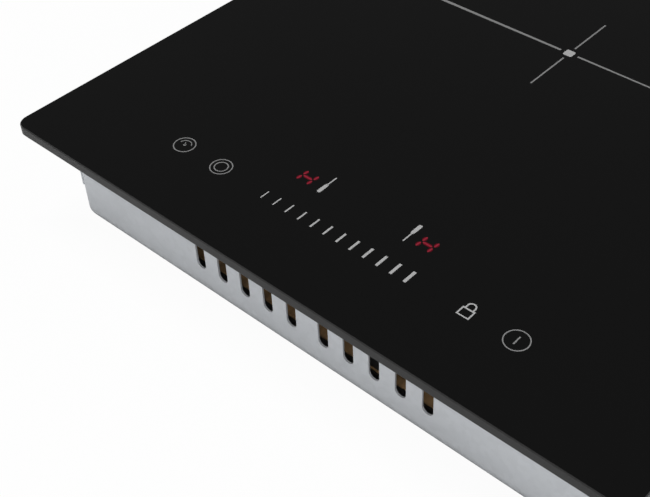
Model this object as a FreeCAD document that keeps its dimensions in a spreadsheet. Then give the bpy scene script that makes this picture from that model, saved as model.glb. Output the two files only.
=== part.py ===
"""Two-zone built-in induction cooktop, modelled as separate pieces.

The origin is the centre of the object's footprint, on the plane of its underside. +Z is up,
-Y is the user's side, and the driving sizes are in millimetres in the "Sizes" sheet.
"""
import FreeCAD
import Part

import math
import os
import re

import Sketcher

V = FreeCAD.Vector
doc = FreeCAD.newDocument("Cooktop")
sizes = doc.addObject("Spreadsheet::Sheet", "Sizes")
nodes = []

# Every driving size: alias, value, what it is.
SIZES = """
glass_width 288 side to side over the glass
glass_depth 520 front to back over the glass
glass_thick 4 glass ceramic
glass_corner 5.5 radius of the plate's corners in plan
glass_bevel 0.4 chamfer on the top edge
side_overhang 12 glass beyond the tray's sides
end_overhang 16.5 glass beyond the tray's ends
overall_height 56 underside of the tray to the top of the glass
tray_corner 3 radius of the tray's upright corners
floor_radius 8 radius between the tray's walls and floor
steel 0.8 tray and frame sheet
rim_flange 9 tray's rim turned inwards
bond_thick 0.5 silicone under the glass
bond_width 6 width of the silicone
seal_thick 2 foam seal on the worktop side
seal_width 8 width of the foam seal
seal_inset 1.5 foam seal from the glass edge
frame_leg 12 frame's flat leg
skirt_drop 33 frame's side skirts
skirt_end_gap 1.1 skirt ends from the tray's ends
vent_width 5 one vent slot
vent_tall 26 one vent slot
vent_rise 15.9 lower end of the vents above the underside
vent_pitch 12.34 from vent to vent in a group
vent_first 8.1 first vent of each group from the middle
vent_group 5 vents in each group
screw_dia 3.5 sheet screws in the sides
screw_head 2 height of a screw's head
screw_stem 7 length of a screw's stem
cross_long 4 cross recess in a screw's head
cross_wide 0.8 cross recess in a screw's head
cross_deep 0.9 cross recess in a screw's head
screw_below 8.6 sheet screws below the top of the coil plate
screw_end 60 end screws from the tray's ends
fit 0.05 radial clearance of pins and screws in their holes
air 0.3 clearance between pieces that move past each other
bracket_hole 4.2 holes for worktop brackets in the floor
bracket_inset_x 32 bracket holes from the tray's sides
bracket_inset_y 33.5 bracket holes from the tray's ends
plate_thick 1.2 aluminium plate that carries the coils
plate_gap 1 coil plate to the tray's walls
plate_flange 15 coil plate's side flanges
zone_gap 36.77 between the two coil formers
zone_end_gap 16.5 rear coil former to the frame's leg
front_coil 72 outer radius of the front winding
rear_coil 88 outer radius of the rear winding
coil_hole 22 inner radius of both windings
litz 3 diameter of the litz bundle
litz_pitch 3.25 from turn to turn
mica_thick 1 insulation over a winding
former_base 1.2 floor of a coil former
former_lip 2 wall of a coil former
ferrite_thick 4 ferrite bar
ferrite_wide 10 ferrite bar
shield_thick 1 aluminium disc under the ferrites
buffer_room 5 shield to coil plate
buffer_radius 4.6 rubber buffer under a former's ear
buffer_groove 1.4 radius of a buffer's groove
post_dia 4.4 former's guide posts
ear_radius 7 former's ears
ear_overlap 2 former's ears into its rim
sensor_dia 9 temperature sensor cup
board_thick 1.6 power board
board_rise 9 underside of the power board above the underside
board_front_gap 6.5 power board to the front wall
board_side_gap 13 power board to the side walls
board_end_room 187 tray behind and before the power board
carrier_wall 1.5 board carrier
sink_wide 70 heat sink
sink_base 4 heat sink's base
sink_side_gap 27 heat sink to the right wall
sink_front_gap 94.1 heat sink to the board's front
sink_rear_gap 21.9 heat sink to the board's rear
sink_air 2.3 heat sink to the coil plate
fin_thick 1.4 one fin
fin_count 12 fins
chip_thick 5 power transistor
chip_wide 21 power transistor
chip_deep 14 power transistor
chip_count 5 transistors and bridge under the heat sink
leg_wide 1 transistor's legs
leg_thick 0.8 transistor's legs
leg_pitch 5 transistor's legs
fan_wall 1.6 fan housing
fan_inset_x 66 fan axis from the tray's right side
fan_inset_y 111.5 fan axis from the tray's rear
fan_air 7.6 fan housing to the coil plate, over the floor sheet
fan_room 8 blades to the housing
grille_hole 2.2 radius of a grille hole
grille_rings 4 rings of grille holes
fan_radius 34 outer radius of the blades
fan_hub 15 radius of the rotor's cup
fan_blades 26 blades
fan_shaft 3 fan shaft diameter
duct_wide 84 width of the fan's outlet
touch_wide 190 touch board
touch_deep 38 touch board
touch_row 33.5 touch icons from the glass's front edge
touch_drop 8 touch board to the glass
display_row 50.5 displays from the glass's front edge
display_x 29.2 displays from the middle
slider_pitch 6.3 slider pads
slider_pads 12 slider pads
lock_x 60 outer touch pads from the middle
power_x 80.3 outermost touch pads from the middle
box_wide 92 terminal box
box_deep 46 terminal box
box_wall 1.6 terminal box
box_rise 9.6 underside of the terminal box
box_inset 60 middle of the box from the tray's left side
box_air 0.6 terminal box to the coil plate
cover_wide 56 terminal cover
cover_thick 1.6 terminal cover
hinge_dia 2 cover's hinge pin
hinge_barrel 4.6 barrel on the cover
terminal_pitch 8.4 from terminal to terminal
terminal_count 6 terminals
terminal_deep 14 terminal bar
terminal_tall 8 terminal bar
terminal_back 26 terminal bar from the box's front
terminal_head 2.4 terminal screw's head
cable_bore 12 bore of the cable bush
bush_long 6.5 cable bush in the wall
bush_lip 1.5 lip of the cable bush
clamp_back 16 cable clamp from the box's front
clamp_wide 8 cable clamp
bush_wall 2 wall of the cable bush
lead_dia 2.6 inner lead
thin_lead 1.6 sensor lead
lead_bend 12 bend of the supply leads
stud_tall 8 studs for the coils' leads
ribbon_x -40 ribbon cable
ribbon_wide 14 ribbon cable
ribbon_thick 0.6 ribbon cable
plug_back 12 rear plugs from the power board's rear
plug_tall 9 plugs on the power board
""".strip()


def fill_sheet():
    """Put every size in the sheet under its own alias."""
    for row, line in enumerate(SIZES.splitlines(), 1):
        alias, value, note = line.split(" ", 2)
        sizes.set(f"A{row}", alias)
        sizes.set(f"B{row}", value)
        sizes.set(f"C{row}", note)
        sizes.setAlias(f"B{row}", alias)
    doc.recompute()


fill_sheet()
ALIASES = [line.split(" ", 1)[0] for line in SIZES.splitlines()]

# Sizes that follow from others; each may name those below it.
FOLLOWING = {
    "front_zone_y": "(rear_zone_y - rear_coil - front_coil - 2 * former_lip - zone_gap)",
    "rear_zone_y": "(tray_depth / 2 - frame_leg - zone_end_gap - former_lip - rear_coil)",
    "screw_rise": "(plate_top - screw_below)",
    "sink_x": "(tray_width / 2 - sink_side_gap - sink_wide / 2)",
    "sink_y": "(board_front + sink_front_gap + sink_long / 2)",
    "sink_long": "(board_long - sink_front_gap - sink_rear_gap)",
    "sink_tall": "(plate_under - sink_under - sink_air)",
    "sink_under": "(board_rise + board_thick + 0.5 + chip_thick)",
    "board_front": "(-tray_depth / 2 + steel + board_front_gap)",
    "board_long": "(tray_depth - board_end_room)",
    "fan_x": "(tray_width / 2 - fan_inset_x)",
    "fan_y": "(tray_depth / 2 - fan_inset_y)",
    "fan_tall": "(plate_under - steel - fan_air)",
    "box_x": "(box_inset - tray_width / 2)",
    "box_tall": "(plate_under - box_rise - box_air)",
    "plate_under": "(plate_top - plate_thick)",
    "plate_top": "(shield_top - shield_thick - buffer_room)",
    "shield_top": "(ferrite_top - ferrite_thick)",
    "ferrite_top": "(former_floor - former_base)",
    "former_floor": "(coil_top - litz - 0.2)",
    "coil_top": "(under_glass - mica_thick)",
    "under_glass": "(overall_height - glass_thick)",
    "tray_width": "(glass_width - 2 * side_overhang)",
    "tray_depth": "(glass_depth - 2 * end_overhang)",
}



def spelled(text):
    """Write out the sizes that follow from others."""
    for name, rule in FOLLOWING.items():
        text = re.sub(rf"\b{name}\b", rule, text)
    return text


def linked(text):
    """Write an expression on the sheet's aliases as other objects need it."""
    return re.sub(r"[a-z][a-z_]+", lambda m: "Sizes." + m[0] if m[0] in ALIASES else m[0], spelled(str(text)))


def num(text):
    """The value of an expression on the sheet's aliases."""
    return float(sizes.evalExpression(spelled(str(text))))


def bind(target, prop, text):
    """Tie a property to an expression on the sheet's aliases."""
    target.setExpression(prop, linked(text))


# Heights and places that several pieces share.
UNDER_GLASS = "under_glass"
FRAME_TOP = "(under_glass - bond_thick)"
RIM_TOP = f"({FRAME_TOP} - steel)"
COIL_TOP = "coil_top"
FORMER_FLOOR = "former_floor"
FERRITE_TOP = "ferrite_top"
SHIELD_TOP = "shield_top"
PLATE_TOP = "plate_top"
PLATE_UNDER = "plate_under"
SINK_UNDER = "sink_under"
BOARD_TOP = "(board_rise + board_thick)"
WALL_Y = "(tray_depth / 2)"
WALL_X = "(tray_width / 2)"
BOARD_FRONT = "board_front"
BOARD_WIDE = "(tray_width - 2 * steel - 2 * board_side_gap)"
BOARD_Y = "(board_front + board_long / 2)"
LEFT_COLUMN = "(32 - tray_width / 2)"
RIGHT_COLUMN = "(tray_width / 2 - 42)"
TOUCH_TOP = "(under_glass - touch_drop)"
TOUCH_UNDER = f"({TOUCH_TOP} - board_thick)"
TOUCH_Y = "(-glass_depth / 2 + (touch_row + display_row) / 2)"
RIBBON_Y = f"({TOUCH_Y} + touch_deep / 2 + 6)"
PLUG_Y = "(board_front + board_long - plug_back)"
SUPPLY_X = f"({LEFT_COLUMN} + 5)"
SUPPLY_Y = "(board_front + board_long - 26)"


# ---- bodies, sketches and features ----------------------------------------------------------

def body(name):
    """Start a sub-part's body."""
    made = doc.addObject("PartDesign::Body", name)
    made.Label = name
    return made


def origin(owner, role):
    """One of a body's own origin planes or axes."""
    return next(f for f in owner.Origin.OriginFeatures if f.Role == role)


def sketch(owner, name, plane="XY_Plane", at=("0", "0", "0"), turn=None):
    """An empty sketch on an origin plane, moved by expressions along the plane and off it."""
    made = owner.newObject("Sketcher::SketchObject", name)
    made.AttachmentSupport = [(origin(owner, plane), "")]
    made.MapMode = "FlatFace"
    for axis, text in zip("xyz", at):
        bind(made, f"AttachmentOffset.Base.{axis}", text)
    if turn:
        bind(made, "AttachmentOffset.Rotation.Angle", turn)
    return made


def dimension(target, constraint, name, text):
    """Add a constraint with a name and tie it to the sheet."""
    target.addConstraint(constraint)
    index = target.ConstraintCount - 1
    target.renameConstraint(index, name)
    bind(target, f"Constraints.{name}", text)


def add_rectangle(target, wide, deep, tag=""):
    """A rectangle about the sketch's origin."""
    x = num(wide) / 2
    y = num(deep) / 2
    corners = [V(-x, -y, 0), V(x, -y, 0), V(x, y, 0), V(-x, y, 0)]
    lines = [target.addGeometry(Part.LineSegment(corners[i], corners[(i + 1) % 4])) for i in range(4)]
    for i in range(4):
        target.addConstraint(Sketcher.Constraint("Coincident", lines[i], 2, lines[(i + 1) % 4], 1))
        target.addConstraint(Sketcher.Constraint("Vertical" if i % 2 else "Horizontal", lines[i]))
    target.addConstraint(Sketcher.Constraint("Symmetric", lines[0], 1, lines[2], 1, -1, 1))
    dimension(target, Sketcher.Constraint("DistanceX", lines[0], 1, lines[0], 2, 2 * x), f"wide{tag}", wide)
    dimension(target, Sketcher.Constraint("DistanceY", lines[1], 1, lines[1], 2, 2 * y), f"deep{tag}", deep)


def add_circle(target, radius, tag=""):
    """A circle about the sketch's origin."""
    size = num(radius)
    ring = target.addGeometry(Part.Circle(V(0, 0, 0), V(0, 0, 1), size))
    target.addConstraint(Sketcher.Constraint("Coincident", ring, 3, -1, 1))
    dimension(target, Sketcher.Constraint("Radius", ring, size), f"radius{tag}", radius)


def add_slot(target, wide, tall):
    """An upright slot with round ends about the sketch's origin."""
    radius = num(wide) / 2
    half = num(tall) / 2 - radius
    top = target.addGeometry(Part.ArcOfCircle(Part.Circle(V(0, half, 0), V(0, 0, 1), radius), 0, math.pi))
    left = target.addGeometry(Part.LineSegment(V(-radius, half, 0), V(-radius, -half, 0)))
    low = target.addGeometry(Part.ArcOfCircle(Part.Circle(V(0, -half, 0), V(0, 0, 1), radius), math.pi, 0))
    right = target.addGeometry(Part.LineSegment(V(radius, -half, 0), V(radius, half, 0)))
    meetings = ((top, 2, left, 1), (left, 2, low, 1), (low, 2, right, 1), (right, 2, top, 1))
    for first, end, second, start in meetings:
        target.addConstraint(Sketcher.Constraint("Tangent", first, end, second, start))
    target.addConstraint(Sketcher.Constraint("Vertical", left))
    target.addConstraint(Sketcher.Constraint("Symmetric", top, 3, low, 3, -1, 1))
    dimension(target, Sketcher.Constraint("Radius", top, radius), "radius", f"({wide}) / 2")
    dimension(target, Sketcher.Constraint("DistanceY", low, 3, top, 3, 2 * half), "span",
              f"({tall}) - ({wide})")


def pad(owner, profile, length, back=False):
    """Add a thickness to a profile, along the sketch's normal unless back is set."""
    made = owner.newObject("PartDesign::Pad", profile.Name + "_pad")
    made.Profile = profile
    made.Reversed = back
    bind(made, "Length", length)
    doc.recompute()
    return made


def pocket(owner, profile, depth=None, back=False):
    """Cut a profile out of the body, right through both ways where no depth is given."""
    before = owner.Shape.Volume
    made = owner.newObject("PartDesign::Pocket", profile.Name + "_pocket")
    made.Profile = profile
    if depth is None:
        made.Type = "ThroughAll"
        made.Midplane = True
    else:
        made.Reversed = back
        bind(made, "Length", depth)
    doc.recompute()
    if not made.Shape.Volume < before - 1e-6:
        raise RuntimeError(f"{made.Name} cuts nothing")
    return made


def row(owner, feature, role, pitch, count, back=False):
    """Repeat a feature along one of the body's origin axes."""
    made = owner.newObject("PartDesign::LinearPattern", feature.Name + "_row")
    made.Originals = [feature]
    made.Direction = (origin(owner, role), [""])
    made.Mode = "Spacing"
    made.Reversed = back
    bind(made, "Offset", pitch)
    bind(made, "Occurrences", count)
    owner.Tip = made
    doc.recompute()
    return made


def ring_of(owner, feature, axis, count):
    """Repeat a feature around an axis."""
    made = owner.newObject("PartDesign::PolarPattern", feature.Name + "_ring")
    made.Originals = [feature]
    made.Axis = axis
    made.Angle = 360
    bind(made, "Occurrences", count)
    owner.Tip = made
    doc.recompute()
    return made


def edges_where(shape, test):
    """Names of a shape's edges that pass a test on the edge and its middle."""
    return [f"Edge{i}" for i, edge in enumerate(shape.Edges, 1) if test(edge, edge.CenterOfMass)]


def is_upright(edge):
    """True for a straight edge along Z."""
    ends = edge.Vertexes
    return len(ends) == 2 and abs(ends[0].X - ends[1].X) + abs(ends[0].Y - ends[1].Y) < 1e-6


def round_edges(owner, base, names, radius, kind="Fillet"):
    """Fillet or chamfer the named edges of a feature."""
    made = owner.newObject("PartDesign::" + kind, f"{base.Name}_{kind.lower()}")
    made.Base = (base, names)
    bind(made, "Radius" if kind == "Fillet" else "Size", radius)
    doc.recompute()
    return made


def place(made, x="0", y="0", z="0"):
    """Tie an object's place to expressions."""
    for axis, text in zip("xyz", (x, y, z)):
        bind(made, f"Placement.Base.{axis}", text)


def block(name, wide, deep, tall, x, y, z):
    """A block whose middle in plan is at x, y and whose underside is at z."""
    made = doc.addObject("Part::Box", name)
    for prop, text in (("Length", wide), ("Width", deep), ("Height", tall)):
        bind(made, prop, text)
    place(made, f"({x}) - ({wide}) / 2", f"({y}) - ({deep}) / 2", z)
    return made


def rod(name, radius, tall, x, y, z, axis="Z"):
    """A cylinder that starts at x, y, z and runs along +Z, +X or +Y."""
    made = doc.addObject("Part::Cylinder", name)
    bind(made, "Radius", radius)
    bind(made, "Height", tall)
    turns = {"Z": (V(0, 0, 1), 0), "X": (V(0, 1, 0), 90), "Y": (V(1, 0, 0), -90)}
    made.Placement = FreeCAD.Placement(V(0, 0, 0), FreeCAD.Rotation(*turns[axis]))
    place(made, x, y, z)
    return made


def joined(name, parts, kind="Part::MultiFuse"):
    """Fuse pieces into one, or keep separate pieces together as a compound."""
    made = doc.addObject(kind, name)
    if kind == "Part::Compound":
        made.Links = parts
    else:
        made.Shapes = parts
    made.Label = name
    return made


def group(name, parts):
    """Separate pieces of one kind in one sub-part."""
    return joined(name, parts, "Part::Compound")


def less(name, base, tools):
    """Cut tools out of a base."""
    made = doc.addObject("Part::Cut", name)
    made.Base = base
    made.Tool = tools[0] if len(tools) == 1 else joined(name + "_tools", tools)
    made.Label = name
    return made


def computed(name, shape):
    """A sub-part whose shape is worked out in code from the sheet's values."""
    made = doc.addObject("Part::Feature", name)
    made.Shape = shape
    made.Label = name
    return made


def keep(made):
    """List a finished sub-part for export."""
    doc.recompute()
    nodes.append(made)
    return made


def signs(first=(-1, 1), second=(-1, 1)):
    """The sign pairs of four like places."""
    return [(a, b) for a in first for b in second]


# ---- the glass, its seal and the frame ------------------------------------------------------

def glass_plate():
    """The glass ceramic plate: round corners and a bevelled upper edge."""
    made = body("glass_plate")
    outline = sketch(made, "glass_outline", at=("0", "0", UNDER_GLASS))
    add_rectangle(outline, "glass_width", "glass_depth")
    slab = pad(made, outline, "glass_thick")
    corners = edges_where(slab.Shape, lambda edge, mid: is_upright(edge))
    slab = round_edges(made, slab, corners, "glass_corner")
    top = edges_where(slab.Shape, lambda edge, mid: mid.z > num("overall_height") - 1e-4)
    round_edges(made, slab, top, "glass_bevel", "Chamfer")
    keep(made)


def flat_ring(name, wide, deep, band, level, thick):
    """A rectangular ring of one band width, laid flat."""
    made = body(name)
    outline = sketch(made, name + "_outer", at=("0", "0", level))
    add_rectangle(outline, wide, deep)
    pad(made, outline, thick)
    opening = sketch(made, name + "_inner", at=("0", "0", level))
    add_rectangle(opening, f"({wide}) - 2 * ({band})", f"({deep}) - 2 * ({band})")
    pocket(made, opening)
    return made


def edge_seal():
    """Foam strip stuck under the glass, near its edge, that lies on the worktop."""
    seal = flat_ring("edge_seal", "glass_width - 2 * seal_inset", "glass_depth - 2 * seal_inset",
                     "seal_width", f"{UNDER_GLASS} - seal_thick", "seal_thick")
    keep(seal)


def bond_bead():
    """Silicone between the glass and the frame."""
    keep(flat_ring("bond_bead", "tray_width", "tray_depth", "bond_width", FRAME_TOP, "bond_thick"))


SCREW_Y = ("-tray_depth / 2 + screw_end", "0", "tray_depth / 2 - screw_end")


def side_holes(owner, name, radius):
    """Three screw holes right through both sides of a body."""
    for i, y in enumerate(SCREW_Y):
        hole = sketch(owner, f"{name}_hole_{i}", "YZ_Plane", at=(y, "screw_rise", "0"))
        add_circle(hole, radius)
        pocket(owner, hole)


def carrier_frame():
    """Sheet frame bonded to the glass, with a skirt down each side of the tray."""
    made = flat_ring("carrier_frame", "tray_width + 2 * steel", "tray_depth", "frame_leg", RIM_TOP, "steel")
    for side, tag in ((1, "right"), (-1, "left")):
        x = f"{side} * ({WALL_X} + steel / 2)"
        skirt = sketch(made, f"skirt_{tag}", at=(x, "0", FRAME_TOP))
        add_rectangle(skirt, "steel", "tray_depth - 2 * skirt_end_gap")
        pad(made, skirt, "skirt_drop", back=True)
    side_holes(made, "skirt", "screw_dia / 2 + fit")
    keep(made)


# ---- the tray -------------------------------------------------------------------------------

def tray_shell(made):
    """A drawn tray: rounded upright corners, rounded floor edge, one wall thickness."""
    outline = sketch(made, "tray_outline")
    add_rectangle(outline, "tray_width", "tray_depth")
    last = pad(made, outline, RIM_TOP)
    low = edges_where(last.Shape, lambda edge, mid: mid.z < 0.01)
    last = round_edges(made, last, low, "floor_radius")
    away = num("tray_width / 2 - floor_radius")
    end = num("tray_depth / 2 - floor_radius")
    corners = edges_where(last.Shape, lambda edge, mid: abs(mid.x) > away and abs(mid.y) > end
                          and mid.z < num(RIM_TOP) - 0.1)
    last = round_edges(made, last, corners, "tray_corner")
    top = num(RIM_TOP)
    mouth = [f"Face{i}" for i, face in enumerate(last.Shape.Faces, 1) if face.BoundBox.ZMin > top - 0.01]
    shell = made.newObject("PartDesign::Thickness", "tray_wall")
    shell.Base = (last, mouth)
    shell.Reversed = True
    bind(shell, "Value", "steel")
    doc.recompute()


def tray():
    """The sheet-steel tray with its rim, vents, fan grille and bracket holes."""
    made = body("tray")
    tray_shell(made)
    rim = sketch(made, "tray_rim", at=("0", "0", RIM_TOP))
    add_rectangle(rim, "tray_width - steel", "tray_depth - steel")
    add_rectangle(rim, "tray_width - 2 * rim_flange", "tray_depth - 2 * rim_flange", "_inside")
    pad(made, rim, "steel", back=True)
    for side in (1, -1):
        spot = (f"{side} * vent_first", "vent_rise + vent_tall / 2", WALL_Y)
        vent = sketch(made, "vent_right" if side > 0 else "vent_left", "XZ_Plane", at=spot)
        add_slot(vent, "vent_width", "vent_tall")
        cut = pocket(made, vent, "2 * steel")
        row(made, cut, "X_Axis", "vent_pitch", "vent_group", back=side < 0)
    side_holes(made, "tray", "screw_dia / 2 + fit")
    grille(made)
    for x, y in signs():
        spot = (f"{x} * ({WALL_X} - bracket_inset_x)", f"{y} * ({WALL_Y} - bracket_inset_y)", "0")
        hole = sketch(made, f"bracket_{x + 1}{y + 1}", at=spot)
        add_circle(hole, "bracket_hole / 2")
        pocket(made, hole, "2 * steel", back=True)
    opening = sketch(made, "terminal_window", "XZ_Plane", at=("box_x", "box_rise + box_tall / 2", f"-{WALL_Y}"))
    add_rectangle(opening, "box_wide - 2 * box_wall", "box_tall - 2 * box_wall + 2.4")
    pocket(made, opening, "2 * steel", back=True)
    keep(made)


def grille(made):
    """Rings of round holes in the floor under the fan."""
    axis_sketch = sketch(made, "grille_axis", at=("fan_x", "fan_y", "0"))
    axis_sketch.addGeometry(Part.Circle(V(0, 0, 0), V(0, 0, 1), 1), True)
    rings = round(num("grille_rings"))
    for ring in range(1, rings + 1):
        reach = f"{ring} * fan_radius / (grille_rings + 0.4)"
        hole = sketch(made, f"grille_{ring}", at=(f"fan_x + {reach}", "fan_y", "0"))
        add_circle(hole, "grille_hole")
        cut = pocket(made, hole, "2 * steel", back=True)
        ring_of(made, cut, (axis_sketch, ["N_Axis"]), str(6 * ring))


def tray_screws():
    """Pan-head sheet screws through the skirts, the tray and the coil plate's flanges."""
    parts = []
    for side in (1, -1):
        for i, y in enumerate(SCREW_Y):
            tag = f"{'right' if side > 0 else 'left'}_{i}"
            face = f"({WALL_X} + steel)"
            head_x = face if side > 0 else f"-({face} + screw_head)"
            stem_x = f"{face} - screw_stem" if side > 0 else f"-{face}"
            head = rod(f"head_{tag}", "screw_dia", "screw_head", head_x, y, "screw_rise", "X")
            stem = rod(f"stem_{tag}", "screw_dia / 2", "screw_stem", stem_x, y, "screw_rise", "X")
            slot_x = f"{side} * ({face} + screw_head)"
            slots = []
            for wide, tall in (("cross_wide", "cross_long"), ("cross_long", "cross_wide")):
                slots.append(block(f"{wide}_{tag}", "2 * cross_deep", wide, tall, slot_x, y,
                                   f"screw_rise - {tall} / 2"))
            parts.append(less(f"screw_{tag}", joined(f"blank_{tag}", [head, stem]), slots))
    keep(group("tray_screws", parts))


# ---- the coils ------------------------------------------------------------------------------

ZONES = {"front": ("front_zone_y", "front_coil", 6), "rear": ("rear_zone_y", "rear_coil", 8)}
EAR_TURNS = (45, 135, 225, 315)


def post_spots(zone):
    """The places of a former's four guide posts."""
    y, outer, bars = ZONES[zone]
    reach = f"({outer} + former_lip + ear_radius - ear_overlap)"
    return [(f"{reach} * cos({turn})", f"{y} + {reach} * sin({turn})") for turn in EAR_TURNS]


def coil_plate():
    """Aluminium plate under both coils, with flanges screwed to the tray's sides."""
    made = body("coil_plate")
    wide = "tray_width - 2 * steel - 2 * plate_gap"
    outline = sketch(made, "plate_outline", at=("0", "0", PLATE_UNDER))
    add_rectangle(outline, wide, "tray_depth - 2 * steel - 16")
    pad(made, outline, "plate_thick")
    for side, tag in ((1, "right"), (-1, "left")):
        x = f"{side} * (({wide}) / 2 - plate_thick / 2)"
        flange = sketch(made, f"flange_{tag}", at=(x, "0", PLATE_TOP))
        add_rectangle(flange, "plate_thick", "tray_depth - 2 * steel - 40")
        pad(made, flange, "plate_flange", back=True)
    side_holes(made, "plate", "screw_dia / 2 + fit")
    for zone, (y, outer, bars) in ZONES.items():
        for i, spot in enumerate(post_spots(zone)):
            hole = sketch(made, f"{zone}_post_{i}", at=(*spot, "0"))
            add_circle(hole, "post_dia / 2 + air")
            pocket(made, hole)
        for tag, x, shift in [("sensor", "0", "0")] + lead_holes(zone):
            hole = sketch(made, f"plate_{zone}_{tag}", at=(x, f"{y} + ({shift})", "0"))
            add_circle(hole, "litz / 2 + 1.5")
            pocket(made, hole)
    slot = sketch(made, "ribbon_slot", at=("ribbon_x", RIBBON_Y, "0"))
    add_rectangle(slot, "ribbon_wide + 4", "5")
    pocket(made, slot)
    keep(made)


def routed(points, bend):
    """Straight runs through the points, with a tangent arc at each inner one."""
    edges = []
    at = points[0]
    for before, corner, after in zip(points, points[1:], points[2:]):
        back = (before - corner).normalize()
        ahead = (after - corner).normalize()
        turn = math.pi - back.getAngle(ahead)
        first = corner + back * (bend * math.tan(turn / 2))
        last = corner + ahead * (bend * math.tan(turn / 2))
        middle = corner + (back + ahead).normalize() * (bend / math.cos(turn / 2) - bend)
        if (first - at).Length > 1e-4:
            edges.append(Part.LineSegment(at, first).toShape())
        edges.append(Part.Arc(first, middle, last).toShape())
        at = last
    if (points[-1] - at).Length > 1e-4:
        edges.append(Part.LineSegment(at, points[-1]).toShape())
    return edges


def tube(points, diameter, bend):
    """A round lead along straight runs and tangent arcs."""
    path = Part.Wire(routed(points, bend))
    section = Part.Wire(Part.Circle(points[0], points[1] - points[0], diameter / 2).toShape())
    return path.makePipeShell([section], True, False)


def lead_down(zone, point, side):
    """Points of a lead from a winding's end, over the edge and down to its stud on the board."""
    bend = num("1.5 * litz")
    corner = point + V(0, side * bend, 0)
    stud = num(f"{BOARD_TOP} + stud_tall")
    if zone == "front":
        return [point, corner, V(corner.x, corner.y, stud)]
    run = num(f"{PLATE_UNDER} - litz / 2 - 0.6")
    front = num(PLUG_Y)
    return [point, corner, V(corner.x, corner.y, run), V(corner.x, front, run), V(corner.x, front, stud)]


def winding_ends(zone):
    """Half circles of the flat spiral, and the lead points at its two ends."""
    y, outer, bars = ZONES[zone]
    radius = num(f"{outer} - litz / 2 - 0.3")
    middle = V(0, num(y), num(f"{COIL_TOP} - litz / 2 - 0.1"))
    point = middle - V(radius, 0, 0)
    lead_in = lead_down(zone, point, -1)
    turns = []
    side = 1
    while radius > num("coil_hole + litz"):
        centre = point + V(side * radius, 0, 0)
        far = centre + V(side * radius, 0, 0)
        turns.append(Part.Arc(point, centre + V(0, side * radius, 0), far).toShape())
        point = far
        radius -= num("litz_pitch / 2")
        side = -side
    return turns, lead_in, lead_down(zone, point, side)


def spiral(zone):
    """The flat litz winding with its two leads, in one bundle."""
    turns, lead_in, lead_out = winding_ends(zone)
    bend = num("1.5 * litz")
    path = Part.Wire(routed(lead_in[::-1], bend) + turns + routed(lead_out, bend))
    section = Part.Wire(Part.Circle(lead_in[-1], V(0, 0, 1), num("litz / 2")).toShape())
    pipe = path.makePipeShell([section], True, False)
    ratio = pipe.Volume / (math.pi * num("litz / 2") ** 2 * path.Length)
    if abs(ratio - 1) > 0.01:
        raise RuntimeError(f"winding {zone} is not a plain tube")
    return computed(f"winding_{zone}", pipe)


def former(zone):
    """Plastic dish for a winding: floor, lip, hub, ears with guide posts."""
    y, outer, bars = ZONES[zone]
    name = f"coil_former_{zone}"
    made = body(name)
    base = sketch(made, name + "_floor", at=("0", y, FERRITE_TOP))
    add_circle(base, f"{outer} + former_lip")
    pad(made, base, "former_base")
    lip = sketch(made, name + "_lip", at=("0", y, FORMER_FLOOR))
    add_circle(lip, f"{outer} + former_lip")
    add_circle(lip, outer, "_inside")
    pad(made, lip, "litz")
    hub = sketch(made, name + "_hub", at=("0", y, FORMER_FLOOR))
    add_circle(hub, "sensor_dia / 2 + 3")
    pad(made, hub, "litz")
    bore = sketch(made, name + "_bore", at=("0", y, "0"))
    add_circle(bore, "sensor_dia / 2 + fit")
    pocket(made, bore)
    for i, spot in enumerate(post_spots(zone)):
        ear = sketch(made, f"{name}_ear_{i}", at=(*spot, FERRITE_TOP))
        add_circle(ear, "ear_radius")
        pad(made, ear, "former_base")
        post = sketch(made, f"{name}_post_{i}", at=(*spot, FERRITE_TOP))
        add_circle(post, "post_dia / 2")
        pad(made, post, f"{FERRITE_TOP} - {PLATE_UNDER} + 0.3", back=True)
    for tag, x, shift in lead_holes(zone):
        hole = sketch(made, f"{name}_{tag}", at=(x, f"{y} + ({shift})", "0"))
        add_circle(hole, "litz + 1.2")
        pocket(made, hole)
    keep(made)


def lead_holes(zone):
    """Where the two leads pass down, as expressions about the zone's middle."""
    turns, lead_in, lead_out = winding_ends(zone)
    y = num(ZONES[zone][0])
    return [(tag, f"{points[1].x:.4f}", f"{points[1].y - y:.4f}")
            for tag, points in (("lead_in", lead_in), ("lead_out", lead_out))]


def ferrites(zone):
    """Radial ferrite bars under the former, clear of the leads."""
    y, outer, bars = ZONES[zone]
    parts = []
    for i in range(bars):
        angle = 90 + (i + 0.5) * 360 / bars if bars == 8 else 90 + i * 360 / bars
        bar = doc.addObject("Part::Box", f"bar_{zone}_{i}")
        bind(bar, "Length", f"{outer} - 4 - coil_hole - 12")
        bind(bar, "Width", "ferrite_wide")
        bind(bar, "Height", "ferrite_thick - 0.1")
        bar.Placement = FreeCAD.Placement(V(0, 0, 0), FreeCAD.Rotation(V(0, 0, 1), angle))
        place(bar, f"(coil_hole + 12) * cos({angle}) + ferrite_wide / 2 * sin({angle})",
              f"{y} + (coil_hole + 12) * sin({angle}) - ferrite_wide / 2 * cos({angle})",
              f"{SHIELD_TOP} + 0.05")
        parts.append(bar)
    keep(group(f"ferrites_{zone}", parts))


def disc(name, zone, radius, level, thick, bore, leads):
    """A flat round piece of a zone with a middle hole and holes for the leads."""
    made = body(name)
    y = ZONES[zone][0]
    outline = sketch(made, name + "_outline", at=("0", y, level))
    add_circle(outline, radius)
    pad(made, outline, thick)
    hole = sketch(made, name + "_bore", at=("0", y, "0"))
    add_circle(hole, bore)
    pocket(made, hole)
    for tag, x, shift in lead_holes(zone) if leads else ():
        hole = sketch(made, f"{name}_{tag}", at=(x, f"{y} + ({shift})", "0"))
        add_circle(hole, "litz / 2 + 0.8")
        pocket(made, hole)
    keep(made)


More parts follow.
